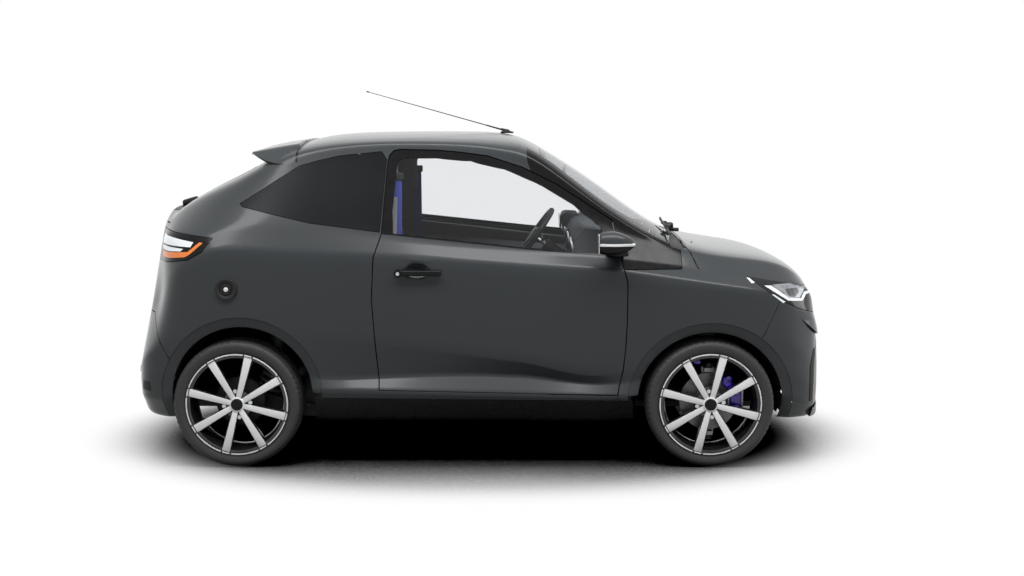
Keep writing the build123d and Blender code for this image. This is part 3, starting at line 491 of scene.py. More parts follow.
def grown(points, distance):
    """An outline moved outwards by a distance, each corner along its bisector."""
    turn = sum(a[0] * b[1] - b[0] * a[1] for a, b in zip(points, points[1:] + points[:1]))
    side = 1 if turn > 0 else -1
    moved = []
    for before, here, after in zip(points[-1:] + points[:-1], points, points[1:] + points[:1]):
        into = (Vector(here) - Vector(before)).normalized()
        away = (Vector(after) - Vector(here)).normalized()
        normals = [Vector((d.y, -d.x)) * side for d in (into, away)]
        bisector = (normals[0] + normals[1]).normalized()
        reach = distance / max(bisector.dot(normals[0]), 0.4)
        moved.append(tuple(Vector(here) + bisector * reach))
    return moved


def both_halves(points):
    """A plan outline given for one half width, closed across the middle."""
    return points + [(x, -y) for x, y in reversed(points) if y > 0]


def arch_block(x, z, radius, low=-1000, high=-340):
    """A round cutter (mm) about a wheel opening's centre."""
    deselect()
    bpy.ops.mesh.primitive_cylinder_add(
        vertices=96, radius=radius / 1000, depth=(high - low) / 1000,
        location=(x / 1000, (low + high) / 2000, z / 1000), rotation=(radians(90), 0, 0))
    tool = bpy.context.object
    bpy.ops.object.transform_apply(location=True, rotation=True, scale=True)
    mark_as_cutter(tool)
    return tool


door_form = outline_block(DOOR, *RIGHT_SIDE)
door_opening = outline_block(grown(DOOR, 5), *RIGHT_SIDE)
belt_form = outline_block(BELT, *RIGHT_SIDE)
quarter_opening = outline_block(QUARTER_WINDOW, *RIGHT_SIDE)
roof_form = outline_block(both_halves(ROOF_PLAN), 1200, 1600, across="Z")
roof_outline = [(ROOF_PLAN[0][0] - 300, 300)] + [(x, y + 2) for x, y in ROOF_PLAN]
roof_opening = outline_block(both_halves(roof_outline), 1295, 1600, across="Z")
screen_form = outline_block(both_halves(SCREEN_PLAN), 900, 1420, across="Z")
hatch_form = outline_block(both_halves(HATCH_PLAN), 1060, 1400, across="Z")
hatch_outline = [(-990, 444)] + [(x, y + 9) for x, y in HATCH_PLAN]
hatch_opening = outline_block(both_halves(hatch_outline), 1046, 1400, across="Z")
cowl_form = outline_block(both_halves(COWL_PLAN), 880, 1100, across="Z")
bonnet_plan_form = outline_block(both_halves(BONNET_PLAN), 700, 1100, across="Z")
bonnet_outline = [(1700, 900), (935, 900)] + [(x - 6, y) for x, y in BONNET_PLAN[2:]]
bonnet_rear_form = outline_block(both_halves(bonnet_outline), 600, 1100, across="Z")
bonnet_line_form = outline_block(BONNET_LINE, *FULL_WIDTH)
fender_form = outline_block(FENDER, *RIGHT_SIDE)
ahead_form = outline_block([(598, -10), (598, 863), (868, 862), (868, 1500), (1700, 1500), (1700, -10)],
                           -1000, 0)
sill_form = outline_block(SILL, -1000, -400)
sill_opening = outline_block(grown(SILL, 3), -1000, -400)
bumper_front_form = outline_block(BUMPER_FRONT, *FULL_WIDTH)
bumper_rear_form = outline_block(BUMPER_REAR, *FULL_WIDTH)
bumper_rear_opening = outline_block(grown(BUMPER_REAR, 4), *FULL_WIDTH)
headlamp_form = outline_block(HEADLAMP, *RIGHT_SIDE)
headlamp_opening = outline_block(grown(HEADLAMP, 3), -1000, -297)
tail_lamp_form = outline_block(TAIL_LAMP, -1000, -330)
tail_lamp_opening = outline_block(grown(TAIL_LAMP, 3), -1000, -327)
FLARE = 44
arch_forms = [arch_block(x, z, radius) for x, z, radius in ARCHES.values()]
flare_openings = [arch_block(x, z, radius + FLARE) for x, z, radius in ARCHES.values()]
tail_opening = outline_block([(-1700, -10), (-1250, -10), (-1250, 1046), (-1700, 1046)], -430, 430)
underside = outline_block([(-1700, -10), (-1700, 232), (1700, 232), (1700, -10)], -600, 600)


def on_both_sides(tool):
    """A right-hand cutter and its mirror image, for a panel that crosses the car."""
    twin = mirrored(tool, "form_left")
    twin.hide_render = True
    return [tool, twin]


def nodes_of(material):
    """A material's nodes, its links and its main shader."""
    tree = material.node_tree
    return tree.nodes, tree.links, tree.nodes["Principled BSDF"]


def noise(nodes, links, scale, detail=2.0, stretch=(1, 1, 1)):
    """A noise pattern fixed to the piece, with its own scale each way."""
    place = nodes.new("ShaderNodeTexCoord")
    mapping = nodes.new("ShaderNodeMapping")
    mapping.inputs["Scale"].default_value = stretch
    links.new(place.outputs["Object"], mapping.inputs["Vector"])
    grain = nodes.new("ShaderNodeTexNoise")
    grain.inputs["Scale"].default_value = scale
    grain.inputs["Detail"].default_value = detail
    links.new(mapping.outputs["Vector"], grain.inputs["Vector"])
    return grain.outputs["Fac"]


def varied(nodes, links, pattern, socket, low, high):
    """Lets a pattern move a colour or a number between two values."""
    if isinstance(low, tuple):
        ramp = nodes.new("ShaderNodeValToRGB")
        ramp.color_ramp.elements[0].position, ramp.color_ramp.elements[1].position = 0.3, 0.7
        ramp.color_ramp.elements[0].color = (*low, 1)
        ramp.color_ramp.elements[1].color = (*high, 1)
        links.new(pattern, ramp.inputs["Fac"])
        links.new(ramp.outputs["Color"], socket)
        return
    ramp = nodes.new("ShaderNodeMapRange")
    ramp.inputs["From Min"].default_value = 0.3
    ramp.inputs["From Max"].default_value = 0.7
    ramp.inputs["To Min"].default_value, ramp.inputs["To Max"].default_value = low, high
    links.new(pattern, ramp.inputs["Value"])
    links.new(ramp.outputs["Result"], socket)


def grained(nodes, links, shader, pattern, depth, strength=0.5):
    """Raises a pattern's light places by a depth (m)."""
    bump = nodes.new("ShaderNodeBump")
    bump.inputs["Strength"].default_value = strength
    bump.inputs["Distance"].default_value = depth
    links.new(pattern, bump.inputs["Height"])
    links.new(bump.outputs["Normal"], shader.inputs["Normal"])


def finish(name, dark, light, roughness=(0.4, 0.5), scale=60, metallic=0.0, depth=0.0,
           coat=0.0, stretch=(1, 1, 1), gloss=0.5):
    """A surface whose colour, roughness and grain all vary a little over it."""
    material = blank_material(name)
    nodes, links, shader = nodes_of(material)
    shader.inputs["Metallic"].default_value = metallic
    shader.inputs["Coat Weight"].default_value = coat
    shader.inputs["Specular IOR Level"].default_value = gloss
    shader.inputs["Coat Roughness"].default_value = 0.06
    pattern = noise(nodes, links, scale, stretch=stretch)
    varied(nodes, links, pattern, shader.inputs["Base Color"], dark, light)
    varied(nodes, links, pattern, shader.inputs["Roughness"], *roughness)
    if depth:
        grained(nodes, links, shader, noise(nodes, links, scale * 4, stretch=stretch), depth)
    return material


paint = finish("slate_satin_paint", (0.026, 0.030, 0.033), (0.032, 0.037, 0.040),
               roughness=(0.43, 0.48), scale=900, coat=0.9, gloss=0.24)
paint_shader = nodes_of(paint)[2]
paint_shader.inputs["Coat IOR"].default_value = 1.22
paint_shader.inputs["Coat Roughness"].default_value = 0.14
gloss_black = finish("gloss_black_trim", (0.004, 0.004, 0.005), (0.007, 0.007, 0.008),
                     roughness=(0.16, 0.24), scale=30, gloss=0.16)

PILLAR = [(205, 1500), (205, 1330), (250, 1190), (560, 863), (869, 862), (869, 1500)]
pillar_form = outline_block(PILLAR, *RIGHT_SIDE)

body_side = patch("quarter_panel_right", shell_right, outside=[
    ahead_form, door_opening, quarter_opening, roof_opening, screen_form, hatch_opening,
    sill_opening, bumper_rear_opening, tail_lamp_opening, cowl_form, underside,
    pillar_form, tail_opening] + flare_openings)
fender = patch("wing_right", shell_right, inside=[fender_form], outside=[
    door_opening, bonnet_line_form, sill_opening, headlamp_opening, cowl_form, screen_form,
    underside, pillar_form, flare_openings[0]])
corner = patch("wing_corner_right", shell_right,
               inside=[outline_block([(872, 872), (872, 1000), (980, 1000), (980, 858)], -1000, -500)],
               outside=[bonnet_rear_form, cowl_form, screen_form])
bonnet = patch("bonnet_panel", shell, inside=[bonnet_line_form, bonnet_plan_form],
               outside=[cowl_form])
roof = patch("roof_skin", shell, inside=[roof_form])
pillar = patch("pillar_trim", shell_right, inside=[pillar_form], outside=[
    door_opening, roof_form, screen_form, cowl_form, fender_form])
for piece, wall in ((body_side, 0.03), (pillar, 0.02), (fender, 0.02), (corner, 0.02), (bonnet, 0.02),
                    (roof, 0.025)):
    thicken(piece, wall)
for piece, name, material, slot, stands_for in (
        (body_side, "quarter_panel_left", paint, "paint", ("body_side_right", "body_side_left")),
        (fender, "wing_left", paint, "paint", ("fenders",)),
        (corner, "wing_corner_left", paint, "paint", ()),
        (pillar, "screen_pillar_left", gloss_black, "gloss_black", ())):
    twin = mirrored(piece, name)
    for half in (twin, piece):
        dress(half, "root", material, slot)
    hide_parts(*stands_for)
pillar.name = "screen_pillar_right"
dress(bonnet, "bonnet", paint, "paint", "bonnet")
dress(roof, "root", paint, "paint", "roof_panel")

# ---- Doors ------------------------------------------------------------------------
# Two long doors: a painted skin below the belt line and a gloss black frame round
# the window, hung at their front edges on two pinned hinges each.
WINDOW = [(-366, 1016), (-370, 1110), (-354, 1300), (-344, 1324), (-322, 1336), (-180, 1334),
          (-37, 1321), (111, 1285), (259, 1221), (407, 1133), (517, 1045), (530, 1026),
          (530, 927), (214, 955)]
window_form = outline_block(WINDOW, *RIGHT_SIDE)
glass_form = outline_block(grown(WINDOW, 4), *RIGHT_SIDE)


def window_glass(name, tint, sheen_low, sheen_high):
    """A see-through pane that mirrors more at a flat angle, on its outer faces alone."""
    material = blank_material(name)
    nodes, links, shader = nodes_of(material)
    # A viewer that reads only the main shader finds plain glass on it.
    shader.inputs["Transmission Weight"].default_value = 1.0
    shader.inputs["IOR"].default_value = 1.45
    shader.inputs["Roughness"].default_value = 0.0
    shader.inputs["Base Color"].default_value = (0.93, 0.95, 0.95, 1)
    see_through = nodes.new("ShaderNodeBsdfTransparent")
    see_through.inputs["Color"].default_value = (*tint, 1)
    mirror_coat = nodes.new("ShaderNodeBsdfGlossy")
    mirror_coat.inputs["Roughness"].default_value = 0.02
    fresnel = nodes.new("ShaderNodeFresnel")
    fresnel.inputs["IOR"].default_value = 1.5
    sheen = nodes.new("ShaderNodeMapRange")
    sheen.inputs["To Min"].default_value, sheen.inputs["To Max"].default_value = sheen_low, sheen_high
    links.new(noise(nodes, links, 6, detail=4), sheen.inputs["Value"])
    share = math_node(nodes, links, "MULTIPLY", fresnel.outputs[0], sheen.outputs[0])
    inner_face = nodes.new("ShaderNodeNewGeometry").outputs["Backfacing"]
    outer_face = math_node(nodes, links, "SUBTRACT", 1.0, inner_face)
    outer_share = math_node(nodes, links, "MULTIPLY", share, outer_face)
    mixed_surface(nodes, links, outer_share, see_through, mirror_coat)
    return material


clear_glass = window_glass("clear_side_glass", (0.95, 0.955, 0.96), 0.75, 0.85)
cabin_grey = finish("grained_cabin_plastic", (0.15, 0.157, 0.163), (0.19, 0.197, 0.203),
                    roughness=(0.5, 0.65), scale=120, depth=0.0004)
matt_black = finish("textured_black_plastic", (0.012, 0.012, 0.013), (0.02, 0.02, 0.021),
                    roughness=(0.45, 0.6), scale=150, depth=0.0004, gloss=0.25)
brushed_metal = finish("brushed_metal", (0.42, 0.43, 0.44), (0.55, 0.56, 0.57),
                       roughness=(0.2, 0.32), scale=60, metallic=1.0, stretch=(1, 12, 1))
machined_metal = finish("machined_alloy_face", (0.84, 0.845, 0.845), (0.9, 0.905, 0.905),
                        roughness=(0.3, 0.36), scale=9, metallic=0.25)


def bevelled_box(name, low, high, rounding, segments=3):
    """A moulded block between two corners (mm), with rounded edges."""
    deselect()
    centre = [(a + b) / 2000 for a, b in zip(low, high)]
    bpy.ops.mesh.primitive_cube_add(size=1, location=centre)
    block = bpy.context.object
    block.name = name
    block.scale = [(b - a) / 1000 for a, b in zip(low, high)]
    bpy.ops.object.transform_apply(location=True, rotation=True, scale=True)
    bpy.ops.object.mode_set(mode="EDIT")
    bpy.ops.mesh.select_all(action="SELECT")
    bpy.ops.mesh.bevel(offset=rounding / 1000, segments=segments, affect="EDGES")
    bpy.ops.object.mode_set(mode="OBJECT")
    bpy.ops.object.shade_smooth_by_angle(angle=radians(40))
    return block


def placed_cylinder(name, start, end, radius, rounding=0.0, vertices=32, end_radius=None):
    """A turned pin or tube between two points (mm)."""
    deselect()
    a, b = Vector(start) / 1000, Vector(end) / 1000
    turn = (b - a).to_track_quat("Z", "Y").to_euler()
    bpy.ops.mesh.primitive_cone_add(
        vertices=vertices, radius1=radius / 1000,
        radius2=(radius if end_radius is None else end_radius) / 1000,
        depth=(b - a).length, location=(a + b) / 2, rotation=turn)
    pin = bpy.context.object
    pin.name = name
    bpy.ops.object.transform_apply(location=True, rotation=True, scale=True)
    if rounding:
        bevel = pin.modifiers.new("rounding", "BEVEL")
        bevel.width = rounding / 1000
        bevel.segments = 2
        bevel.limit_method = "ANGLE"
        bevel.angle_limit = radians(50)
        apply_modifiers(pin)
    bpy.ops.object.shade_smooth_by_angle(angle=radians(40))
    return pin


def joined(name, *pieces):
    """Several pieces as one mesh."""
    deselect()
    for piece in pieces:
        piece.select_set(True)
    bpy.context.view_layer.objects.active = pieces[0]
    bpy.ops.object.join()
    pieces[0].name = name
    return pieces[0]


def dress_pair(right, name, bodies, material, slot, *replaced):
    """Dresses a right-hand piece and its mirrored copy on the left."""
    left = mirrored(right, name + "_left")
    right.name = name + "_right"
    dress(left, bodies[1], material, slot)
    dress(right, bodies[0], material, slot, *replaced)


def moulding(name, points, low, high, rounding, segments, turn, across="Y"):
    """A solid block in the shape of an outline (mm), rounded where it turns by some degrees."""
    block = outline_block(points, low, high, across)
    block.name = name
    block.hide_render = False
    bevel = block.modifiers.new("rounding", "BEVEL")
    bevel.width, bevel.segments, bevel.angle_limit = rounding / 1000, segments, radians(turn)
    apply_modifiers(block)
    bpy.ops.object.shade_smooth_by_angle(angle=radians(40))
    return block


def overlay(name, form, lift, wall, material, slot, rounding=0.0015):
    """A trim piece that lies on the skin, on both sides of the car."""
    piece = patch(name, shell_right, inside=[form])
    thicken(piece, wall, rounding=rounding, outwards=lift)
    dress_pair(piece, name, ROOT_PAIR, material, slot)


def crossing_trim(name, form, lift, wall, rounding, material, slot):
    """A trim piece that lies on the skin and crosses the middle of the car."""
    piece = patch(name, shell, inside=[form])
    thicken(piece, wall, rounding=rounding, outwards=lift)
    dress(piece, "root", material, slot)


ROOT_PAIR = ("root", "root")
DOOR_PAIR = ("door_right", "door_left")

door_skin = patch("door_skin", shell_right, inside=[door_form, belt_form])
thicken(door_skin, 0.045)
deselect()
bpy.ops.mesh.primitive_uv_sphere_add(segments=32, ring_count=16, radius=1,
                                     location=(-0.262, -0.757, 0.858))
handle_cup = bpy.context.object
handle_cup.scale = (0.058, 0.022, 0.034)
bpy.ops.object.transform_apply(location=True, rotation=True, scale=True)
mark_as_cutter(handle_cup)
boolean(door_skin, handle_cup, "DIFFERENCE")
bpy.ops.object.shade_smooth_by_angle(angle=radians(28))
for low, high in ((721, 765), (801, 845)):
    arm_notch = outline_block([(559, low), (660, low), (660, high), (559, high)], -741, -600)
    boolean(door_skin, arm_notch, "DIFFERENCE")
pin_notch = outline_block([(536, 721), (590, 721), (590, 845), (536, 845)], -741, -700)
boolean(door_skin, pin_notch, "DIFFERENCE")
bpy.ops.object.shade_smooth_by_angle(angle=radians(28))
dress_pair(door_skin, "door_skin", DOOR_PAIR, paint, "paint", "door_right", "door_left")
eyes = []
for height in (735, 815):
    eye = placed_cylinder("eye", (575, -730, height - 10), (575, -730, height + 10), 8)
    strap = bevelled_box("strap", (524, -735, height - 10), (572, -725, height + 10), 1)
    bore = placed_cylinder("bore", (575, -730, height - 12), (575, -730, height + 12), 4.6)
    mark_as_cutter(bore)
    for piece in (eye, strap):
        boolean(piece, bore, "DIFFERENCE")
    eyes += [eye, strap]
dress_pair(joined("hinge_eyes", *eyes), "door_hinge_eyes", DOOR_PAIR, brushed_metal, "bare_steel")

door_frame = patch("door_frame", shell_right, inside=[door_form], outside=[belt_form, window_form])
thicken(door_frame, 0.03)
dress_pair(door_frame, "door_window_frame", DOOR_PAIR, gloss_black, "gloss_black")
above_belt_form = outline_block([(-700, 880), (562, 880), (562, 1500), (-700, 1500)], *RIGHT_SIDE)
door_seal = patch("door_seal", shell_right,
                  inside=[outline_block(grown(DOOR, 20), *RIGHT_SIDE), above_belt_form],
                  outside=[outline_block(grown(DOOR, -12), *RIGHT_SIDE)])
thicken(door_seal, 0.008, rounding=0, outwards=-0.034)
dress_pair(door_seal, "door_seal", ROOT_PAIR, matt_black, "black_plastic")

door_pane = patch("door_pane", shell_right, inside=[glass_form])
thicken(door_pane, 0.004, rounding=0, outwards=-0.007)
dress_pair(door_pane, "door_window_glass", DOOR_PAIR, clear_glass, "clear_glass",
           "door_glass_right", "door_glass_left")

# ---- Door handles -------------------------------------------------------------------
# A black pull bar over a cup pressed into the skin, with a bright key barrel at its
# rear end: glass-filled nylon, screwed from inside the door.
bar = bevelled_box("bar", (-350, -776, 840), (-158, -757, 865), 7)
rear_foot = placed_cylinder("foot", (-342, -776, 851), (-342, -735, 851), 17, rounding=4)
front_foot = bevelled_box("foot", (-196, -770, 842), (-162, -735, 863), 5)
handle = joined("door_handle", bar, rear_foot, front_foot)
dress_pair(handle, "door_handle", DOOR_PAIR, gloss_black, "black_plastic")
barrel = placed_cylinder("barrel", (-342, -779, 851), (-342, -770, 851), 8, rounding=1.5)
dress_pair(barrel, "door_lock_barrel", DOOR_PAIR, brushed_metal, "bare_steel")

# ---- Door mirrors ---------------------------------------------------------------------
# A rounded housing in three mouldings, painted cap, indicator strip and black bowl,
# on a foot that comes out of the door's front corner.
deselect()
bpy.ops.mesh.primitive_uv_sphere_add(segments=48, ring_count=24, radius=1, location=(0, 0, 0))
housing = bpy.context.object
for vertex in housing.data.vertices:
    x, y, z = vertex.co
    slim = 1 - 0.34 * max(x, 0) ** 1.5
    x = max(x, -0.55)
    height = (0.052 if z > 0 else 0.05) * (1.0 if x < 0 else slim)
    y = (abs(y) ** 0.8) * (1 if y > 0 else -1)
    z = (abs(z) ** 0.85) * (1 if z > 0 else -1)
    vertex.co = (0.560 + x * 0.096, -0.822 + y * 0.048 * slim - 0.008 * x, 0.983 + z * height)


def slice_of(source, name, low, high, grow=0.0):
    """The part of a moulding between two heights (mm)."""
    tool = outline_block([(300, low), (900, low), (900, high), (300, high)], -900, -700)
    part = copied(source, name)
    part.data.materials.clear()
    part.data.materials.append(KEPT_FACE)
    part.data.materials.append(CUT_FACE)
    boolean(part, tool, "INTERSECT")
    bpy.ops.object.shade_smooth_by_angle(angle=radians(35))
    if grow:
        for vertex in part.data.vertices:
            vertex.co += vertex.normal * grow
    return part


mirror_cap = slice_of(housing, "cap", 985, 1100)
mirror_strip = slice_of(housing, "strip", 975, 984.4, grow=0.001)
mirror_bowl = slice_of(housing, "bowl", 900, 974.4)
mirror_foot = moulding("foot", [(560, -800), (545, -690), (625, -676), (632, -800)], 926, 956, 8, 3, 30,
                       across="Z")
mirror_pane = bevelled_box("pane", (501, -862, 944), (505.5, -782, 1024), 2)
dress_pair(mirror_cap, "mirror_cap", DOOR_PAIR, paint, "paint", "door_mirror_right", "door_mirror_left")
dress_pair(mirror_strip, "mirror_indicator", DOOR_PAIR, machined_metal, "lamp_lens")
dress_pair(mirror_bowl, "mirror_bowl", DOOR_PAIR, gloss_black, "gloss_black")
dress_pair(mirror_foot, "mirror_foot", DOOR_PAIR, matt_black, "black_plastic")
dress_pair(mirror_pane, "mirror_pane", DOOR_PAIR, brushed_metal, "bare_steel")
bpy.data.objects.remove(housing)

# ---- Fixed glass ------------------------------------------------------------------------
# Bonded panes: a clear laminated windscreen with a black border, and dark privacy
# glass in the rear quarters and in the frameless tailgate.
dark_glass = finish("privacy_glass", (0.007, 0.008, 0.0095), (0.009, 0.0105, 0.012),
                    roughness=(0.3, 0.36), scale=3, gloss=0.1)
quarter_glass_form = outline_block(grown(QUARTER_WINDOW, -2.5), *RIGHT_SIDE)
quarter_pane = patch("quarter_pane", shell_right, inside=[quarter_glass_form],
                     outside=[outline_block(grown(DOOR, 7), *RIGHT_SIDE)])
thicken(quarter_pane, 0.004, rounding=0.001)
dress_pair(quarter_pane, "quarter_window", ROOT_PAIR, dark_glass, "dark_glass", "quarter_glass")

SCREEN_CLEAR = [(292, 478), (560, 512), (772, 560), (800, 420), (812, 0)]
screen_clear_form = outline_block(both_halves(SCREEN_CLEAR), 880, 1420, across="Z")
screen_edge_form = outline_block(both_halves([(x + 3, y - 3 if y else 0) for x, y in SCREEN_PLAN[:2]]
                                             + [(x - 4, y - 4 if y else 0) for x, y in SCREEN_PLAN[2:]]),
                                 900, 1420, across="Z")
screen = patch("windscreen_pane", shell, inside=[screen_edge_form], outside=[roof_form])
thicken(screen, 0.006, rounding=0)
tinted_glass = window_glass("tinted_screen_glass", (0.84, 0.865, 0.885), 0.9, 1.0)
dress(screen, "root", tinted_glass, "clear_glass", "windscreen")
border = patch("windscreen_border", shell, inside=[screen_edge_form],
               outside=[screen_clear_form, roof_form])
thicken(border, 0.003, rounding=0, outwards=-0.0075)
dress(border, "root", matt_black, "gloss_black")

tailgate = patch("tailgate_pane", shell, inside=[hatch_form])
thicken(tailgate, 0.005, rounding=0.001)
dress(tailgate, "tailgate", dark_glass, "dark_glass", "hatch_glass")

# ---- Bumpers and skirts ---------------------------------------------------------------------
# Moulded bumpers at both ends and a panel between the tail lamps in body colour,
# gloss black skirts between the wheels and a black scuttle under the screen.
LIP = [(1440, 190), (1459, 238), (1500, 262), (1600, 262), (1600, 150), (1440, 150)]
lip_form = outline_block(LIP, *FULL_WIDTH)
front_bumper = patch("front_bumper_skin", shell, inside=[bumper_front_form],
                     outside=[lip_form, bonnet_line_form] + on_both_sides(headlamp_opening)
                     + on_both_sides(flare_openings[0]))
thicken(front_bumper, 0.02)
dress(front_bumper, "root", paint, "paint", "front_bumper")
rear_bumper = patch("rear_bumper_skin", shell, inside=[bumper_rear_form],
                    outside=on_both_sides(flare_openings[1]))
thicken(rear_bumper, 0.02)
dress(rear_bumper, "root", paint, "paint", "rear_bumper")

rear_panel_form = outline_block([(-1700, 657), (-1250, 640), (-1250, 1041), (-1700, 1041)], -428, 428)
rear_panel = patch("rear_panel_skin", shell, inside=[rear_panel_form],
                   outside=[hatch_opening] + on_both_sides(tail_lamp_opening))
thicken(rear_panel, 0.02)
dress(rear_panel, "root", paint, "paint", "tail_panel")

skirt = patch("skirt", shell_right, inside=[sill_form], outside=[
    outline_block([(-1700, -10), (-1700, 400), (1700, 400), (1700, -10)], -600, 600)] + arch_forms)
thicken(skirt, 0.02)
dress_pair(skirt, "side_skirt", ROOT_PAIR, gloss_black, "gloss_black", "sills")

cowl_panel = patch("scuttle_panel", shell, inside=[cowl_form])
thicken(cowl_panel, 0.01, outwards=-0.012)
dress(cowl_panel, "root", matt_black, "black_plastic", "cowl")

# ---- Headlamps -------------------------------------------------------------------------------
# A black bowl under a smoked polycarbonate lens that is flush with the wing, with a
# projector, a silvered well and bent white light bars.
lamp_black = finish("lamp_housing_black", (0.01, 0.01, 0.012), (0.02, 0.021, 0.023),
                    roughness=(0.15, 0.3), scale=60, metallic=0.3)
lamp_smoke = finish("smoked_lamp_lens", (0.012, 0.013, 0.014), (0.02, 0.021, 0.023),
                    roughness=(0.06, 0.12), scale=20, gloss=0.3)


def glowing(name, colour, strength, scale=200):
    """A lit lamp surface with the fine ribs of its moulding."""
    material = blank_material(name)
    nodes, links, shader = nodes_of(material)
    ribs = noise(nodes, links, scale, stretch=(1, 1, 4))
    varied(nodes, links, ribs, shader.inputs["Base Color"],
           tuple(c * 0.8 for c in colour), colour)
    shader.inputs["Emission Color"].default_value = (*colour, 1)
    shader.inputs["Emission Strength"].default_value = strength
    shader.inputs["Roughness"].default_value = 0.25
    return material


lamp_white = glowing("white_light_guide", (0.7, 0.73, 0.76), 0.5)
lamp_amber = glowing("amber_lens", (0.75, 0.19, 0.03), 0.35)
lamp_silver = finish("lamp_reflector", (0.22, 0.23, 0.25), (0.36, 0.37, 0.39),
                     roughness=(0.3, 0.4), scale=50, metallic=0.5)
projector_grey = finish("projector_glass", (0.06, 0.065, 0.07), (0.1, 0.105, 0.11),
                        roughness=(0.2, 0.3), scale=50)

headlamp = patch("headlamp", shell_right, inside=[headlamp_form], outside=[bonnet_line_form])
bowl = copied(headlamp, "bowl")
thicken(headlamp, 0.003, rounding=0.001)
thicken(bowl, 0.02, rounding=0, outwards=-0.012)
dress_pair(headlamp, "headlamp_lens", ROOT_PAIR, lamp_smoke, "lamp_lens", "headlamps")
dress_pair(bowl, "headlamp_bowl", ROOT_PAIR, lamp_black, "black_plastic")


def lamp_strip(name, points, lift, wall, material, slot):
    """A light guide or reflector that follows the skin of a lamp."""
    overlay(name, outline_block(points, *RIGHT_SIDE), lift, wall, material, slot, rounding=0.0006)


HEAD_BAR = [(1222, 793), (1254, 791), (1332, 737), (1394, 731), (1413, 757), (1452, 757),
            (1450, 747), (1421, 745), (1401, 720), (1328, 727)]
HEAD_TICK = [(1147, 826), (1159, 824), (1181, 806), (1167, 803)]
HEAD_LOW = [(1252, 757), (1262, 756), (1316, 722), (1304, 718)]
PROJECTOR = [(1316, 775), (1377, 777), (1385, 759), (1363, 739), (1333, 744)]
PROJECTOR_ROOM = [(1258, 795), (1339, 797), (1421, 776), (1386, 735), (1333, 738), (1289, 766)]
lamp_strip("headlamp_bar", HEAD_BAR, 0.0012, 0.003, lamp_white, "lamp_lens")
lamp_strip("headlamp_tick", HEAD_TICK, 0.0012, 0.003, lamp_white, "lamp_lens")
lamp_strip("headlamp_low_bar", HEAD_LOW, 0.0012, 0.003, lamp_white, "lamp_lens")
lamp_strip("headlamp_reflector", PROJECTOR_ROOM, 0.0004, 0.002, lamp_silver, "lamp_lens")
lamp_strip("headlamp_projector", PROJECTOR, 0.0012, 0.003, projector_grey, "lamp_lens")

# ---- Tail lamps -------------------------------------------------------------------------------
# Wedge-shaped clusters round the rear corners: white light blocks over an amber
# stripe, in a gloss black surround.
tail_lamp = patch("tail_lamp", shell_right, inside=[tail_lamp_form], outside=[hatch_opening])
thicken(tail_lamp, 0.02)
dress_pair(tail_lamp, "tail_lamp_surround", ROOT_PAIR, gloss_black, "gloss_black", "tail_lamps")
TAIL_UPPER = [(-1400, 1000), (-1338, 996), (-1219, 978), (-1232, 957), (-1340, 960), (-1400, 962)]
TAIL_LOWER = [(-1400, 954), (-1345, 953), (-1266, 949), (-1279, 938), (-1345, 934), (-1400, 936)]
TAIL_AMBER = [(-1400, 929), (-1346, 930), (-1243, 937), (-1192, 978), (-1176, 976), (-1227, 932),
              (-1256, 915), (-1347, 905), (-1400, 905)]
lamp_strip("tail_lamp_upper", TAIL_UPPER, 0.001, 0.004, lamp_white, "lamp_lens")
lamp_strip("tail_lamp_lower", TAIL_LOWER, 0.001, 0.004, lamp_white, "lamp_lens")
lamp_strip("tail_lamp_amber", TAIL_AMBER, 0.001, 0.004, lamp_amber, "lamp_red")

# ---- Tyres ----------------------------------------------------------------------------------
# Low-profile 165/45 R16 radial tyres: black rubber with four rain grooves and short
# cross cuts over both shoulders.
AXLES = {"front": 0.999, "rear": -1.046}
HUB_Z, WHEEL_Y = 0.2775, 0.645
TREAD_STEPS, CUT_DEPTH, CUT_FROM_RADIUS, CUT_FROM_Y = 210, 0.0035, 0.2605, 0.0515
TYRE_PROFILE = [(0.0715, 0.204), (0.0722, 0.222), (0.0745, 0.226), (0.0795, 0.237), (0.0822, 0.25),
                (0.0815, 0.260), (0.077, 0.2685), (0.0715, 0.2728), (0.066, 0.2745), (0.052, 0.2762),
                (0.0505, 0.2762), (0.0500, 0.2712), (0.0450, 0.2712), (0.0445, 0.2768), (0.020, 0.2774),
                (0.0195, 0.2774), (0.0190, 0.2712), (0.0130, 0.2712), (0.0125, 0.2775)]


def turned(name, profile, steps, closed=False):
    """A ring turned about the wheel's axle from (y, r) points."""
    deselect()
    bpy.ops.mesh.primitive_circle_add(vertices=len(profile), fill_type="NOTHING")
    ring = bpy.context.object
    ring.name = name
    for vertex, (y, r) in zip(ring.data.vertices, profile):
        vertex.co = (0, y, r)
    bpy.ops.object.mode_set(mode="EDIT")
    if not closed:
        mesh = bmesh.from_edit_mesh(ring.data)
        mesh.edges.ensure_lookup_table()
        ends = {len(profile) - 1, 0}
        seam = [e for e in mesh.edges if {v.index for v in e.verts} == ends]
        bmesh.ops.delete(mesh, geom=seam, context="EDGES_FACES")
        bmesh.update_edit_mesh(ring.data)
    bpy.ops.mesh.select_all(action="SELECT")
    bpy.ops.mesh.spin(steps=steps, angle=2 * pi, center=(0, 0, 0), axis=(0, 1, 0))
    bpy.ops.mesh.select_all(action="SELECT")
    bpy.ops.mesh.remove_doubles(threshold=0.00002)
    bpy.ops.mesh.normals_make_consistent(inside=False)
    bpy.ops.object.mode_set(mode="OBJECT")
    bpy.ops.object.shade_smooth_by_angle(angle=radians(35))
    return ring


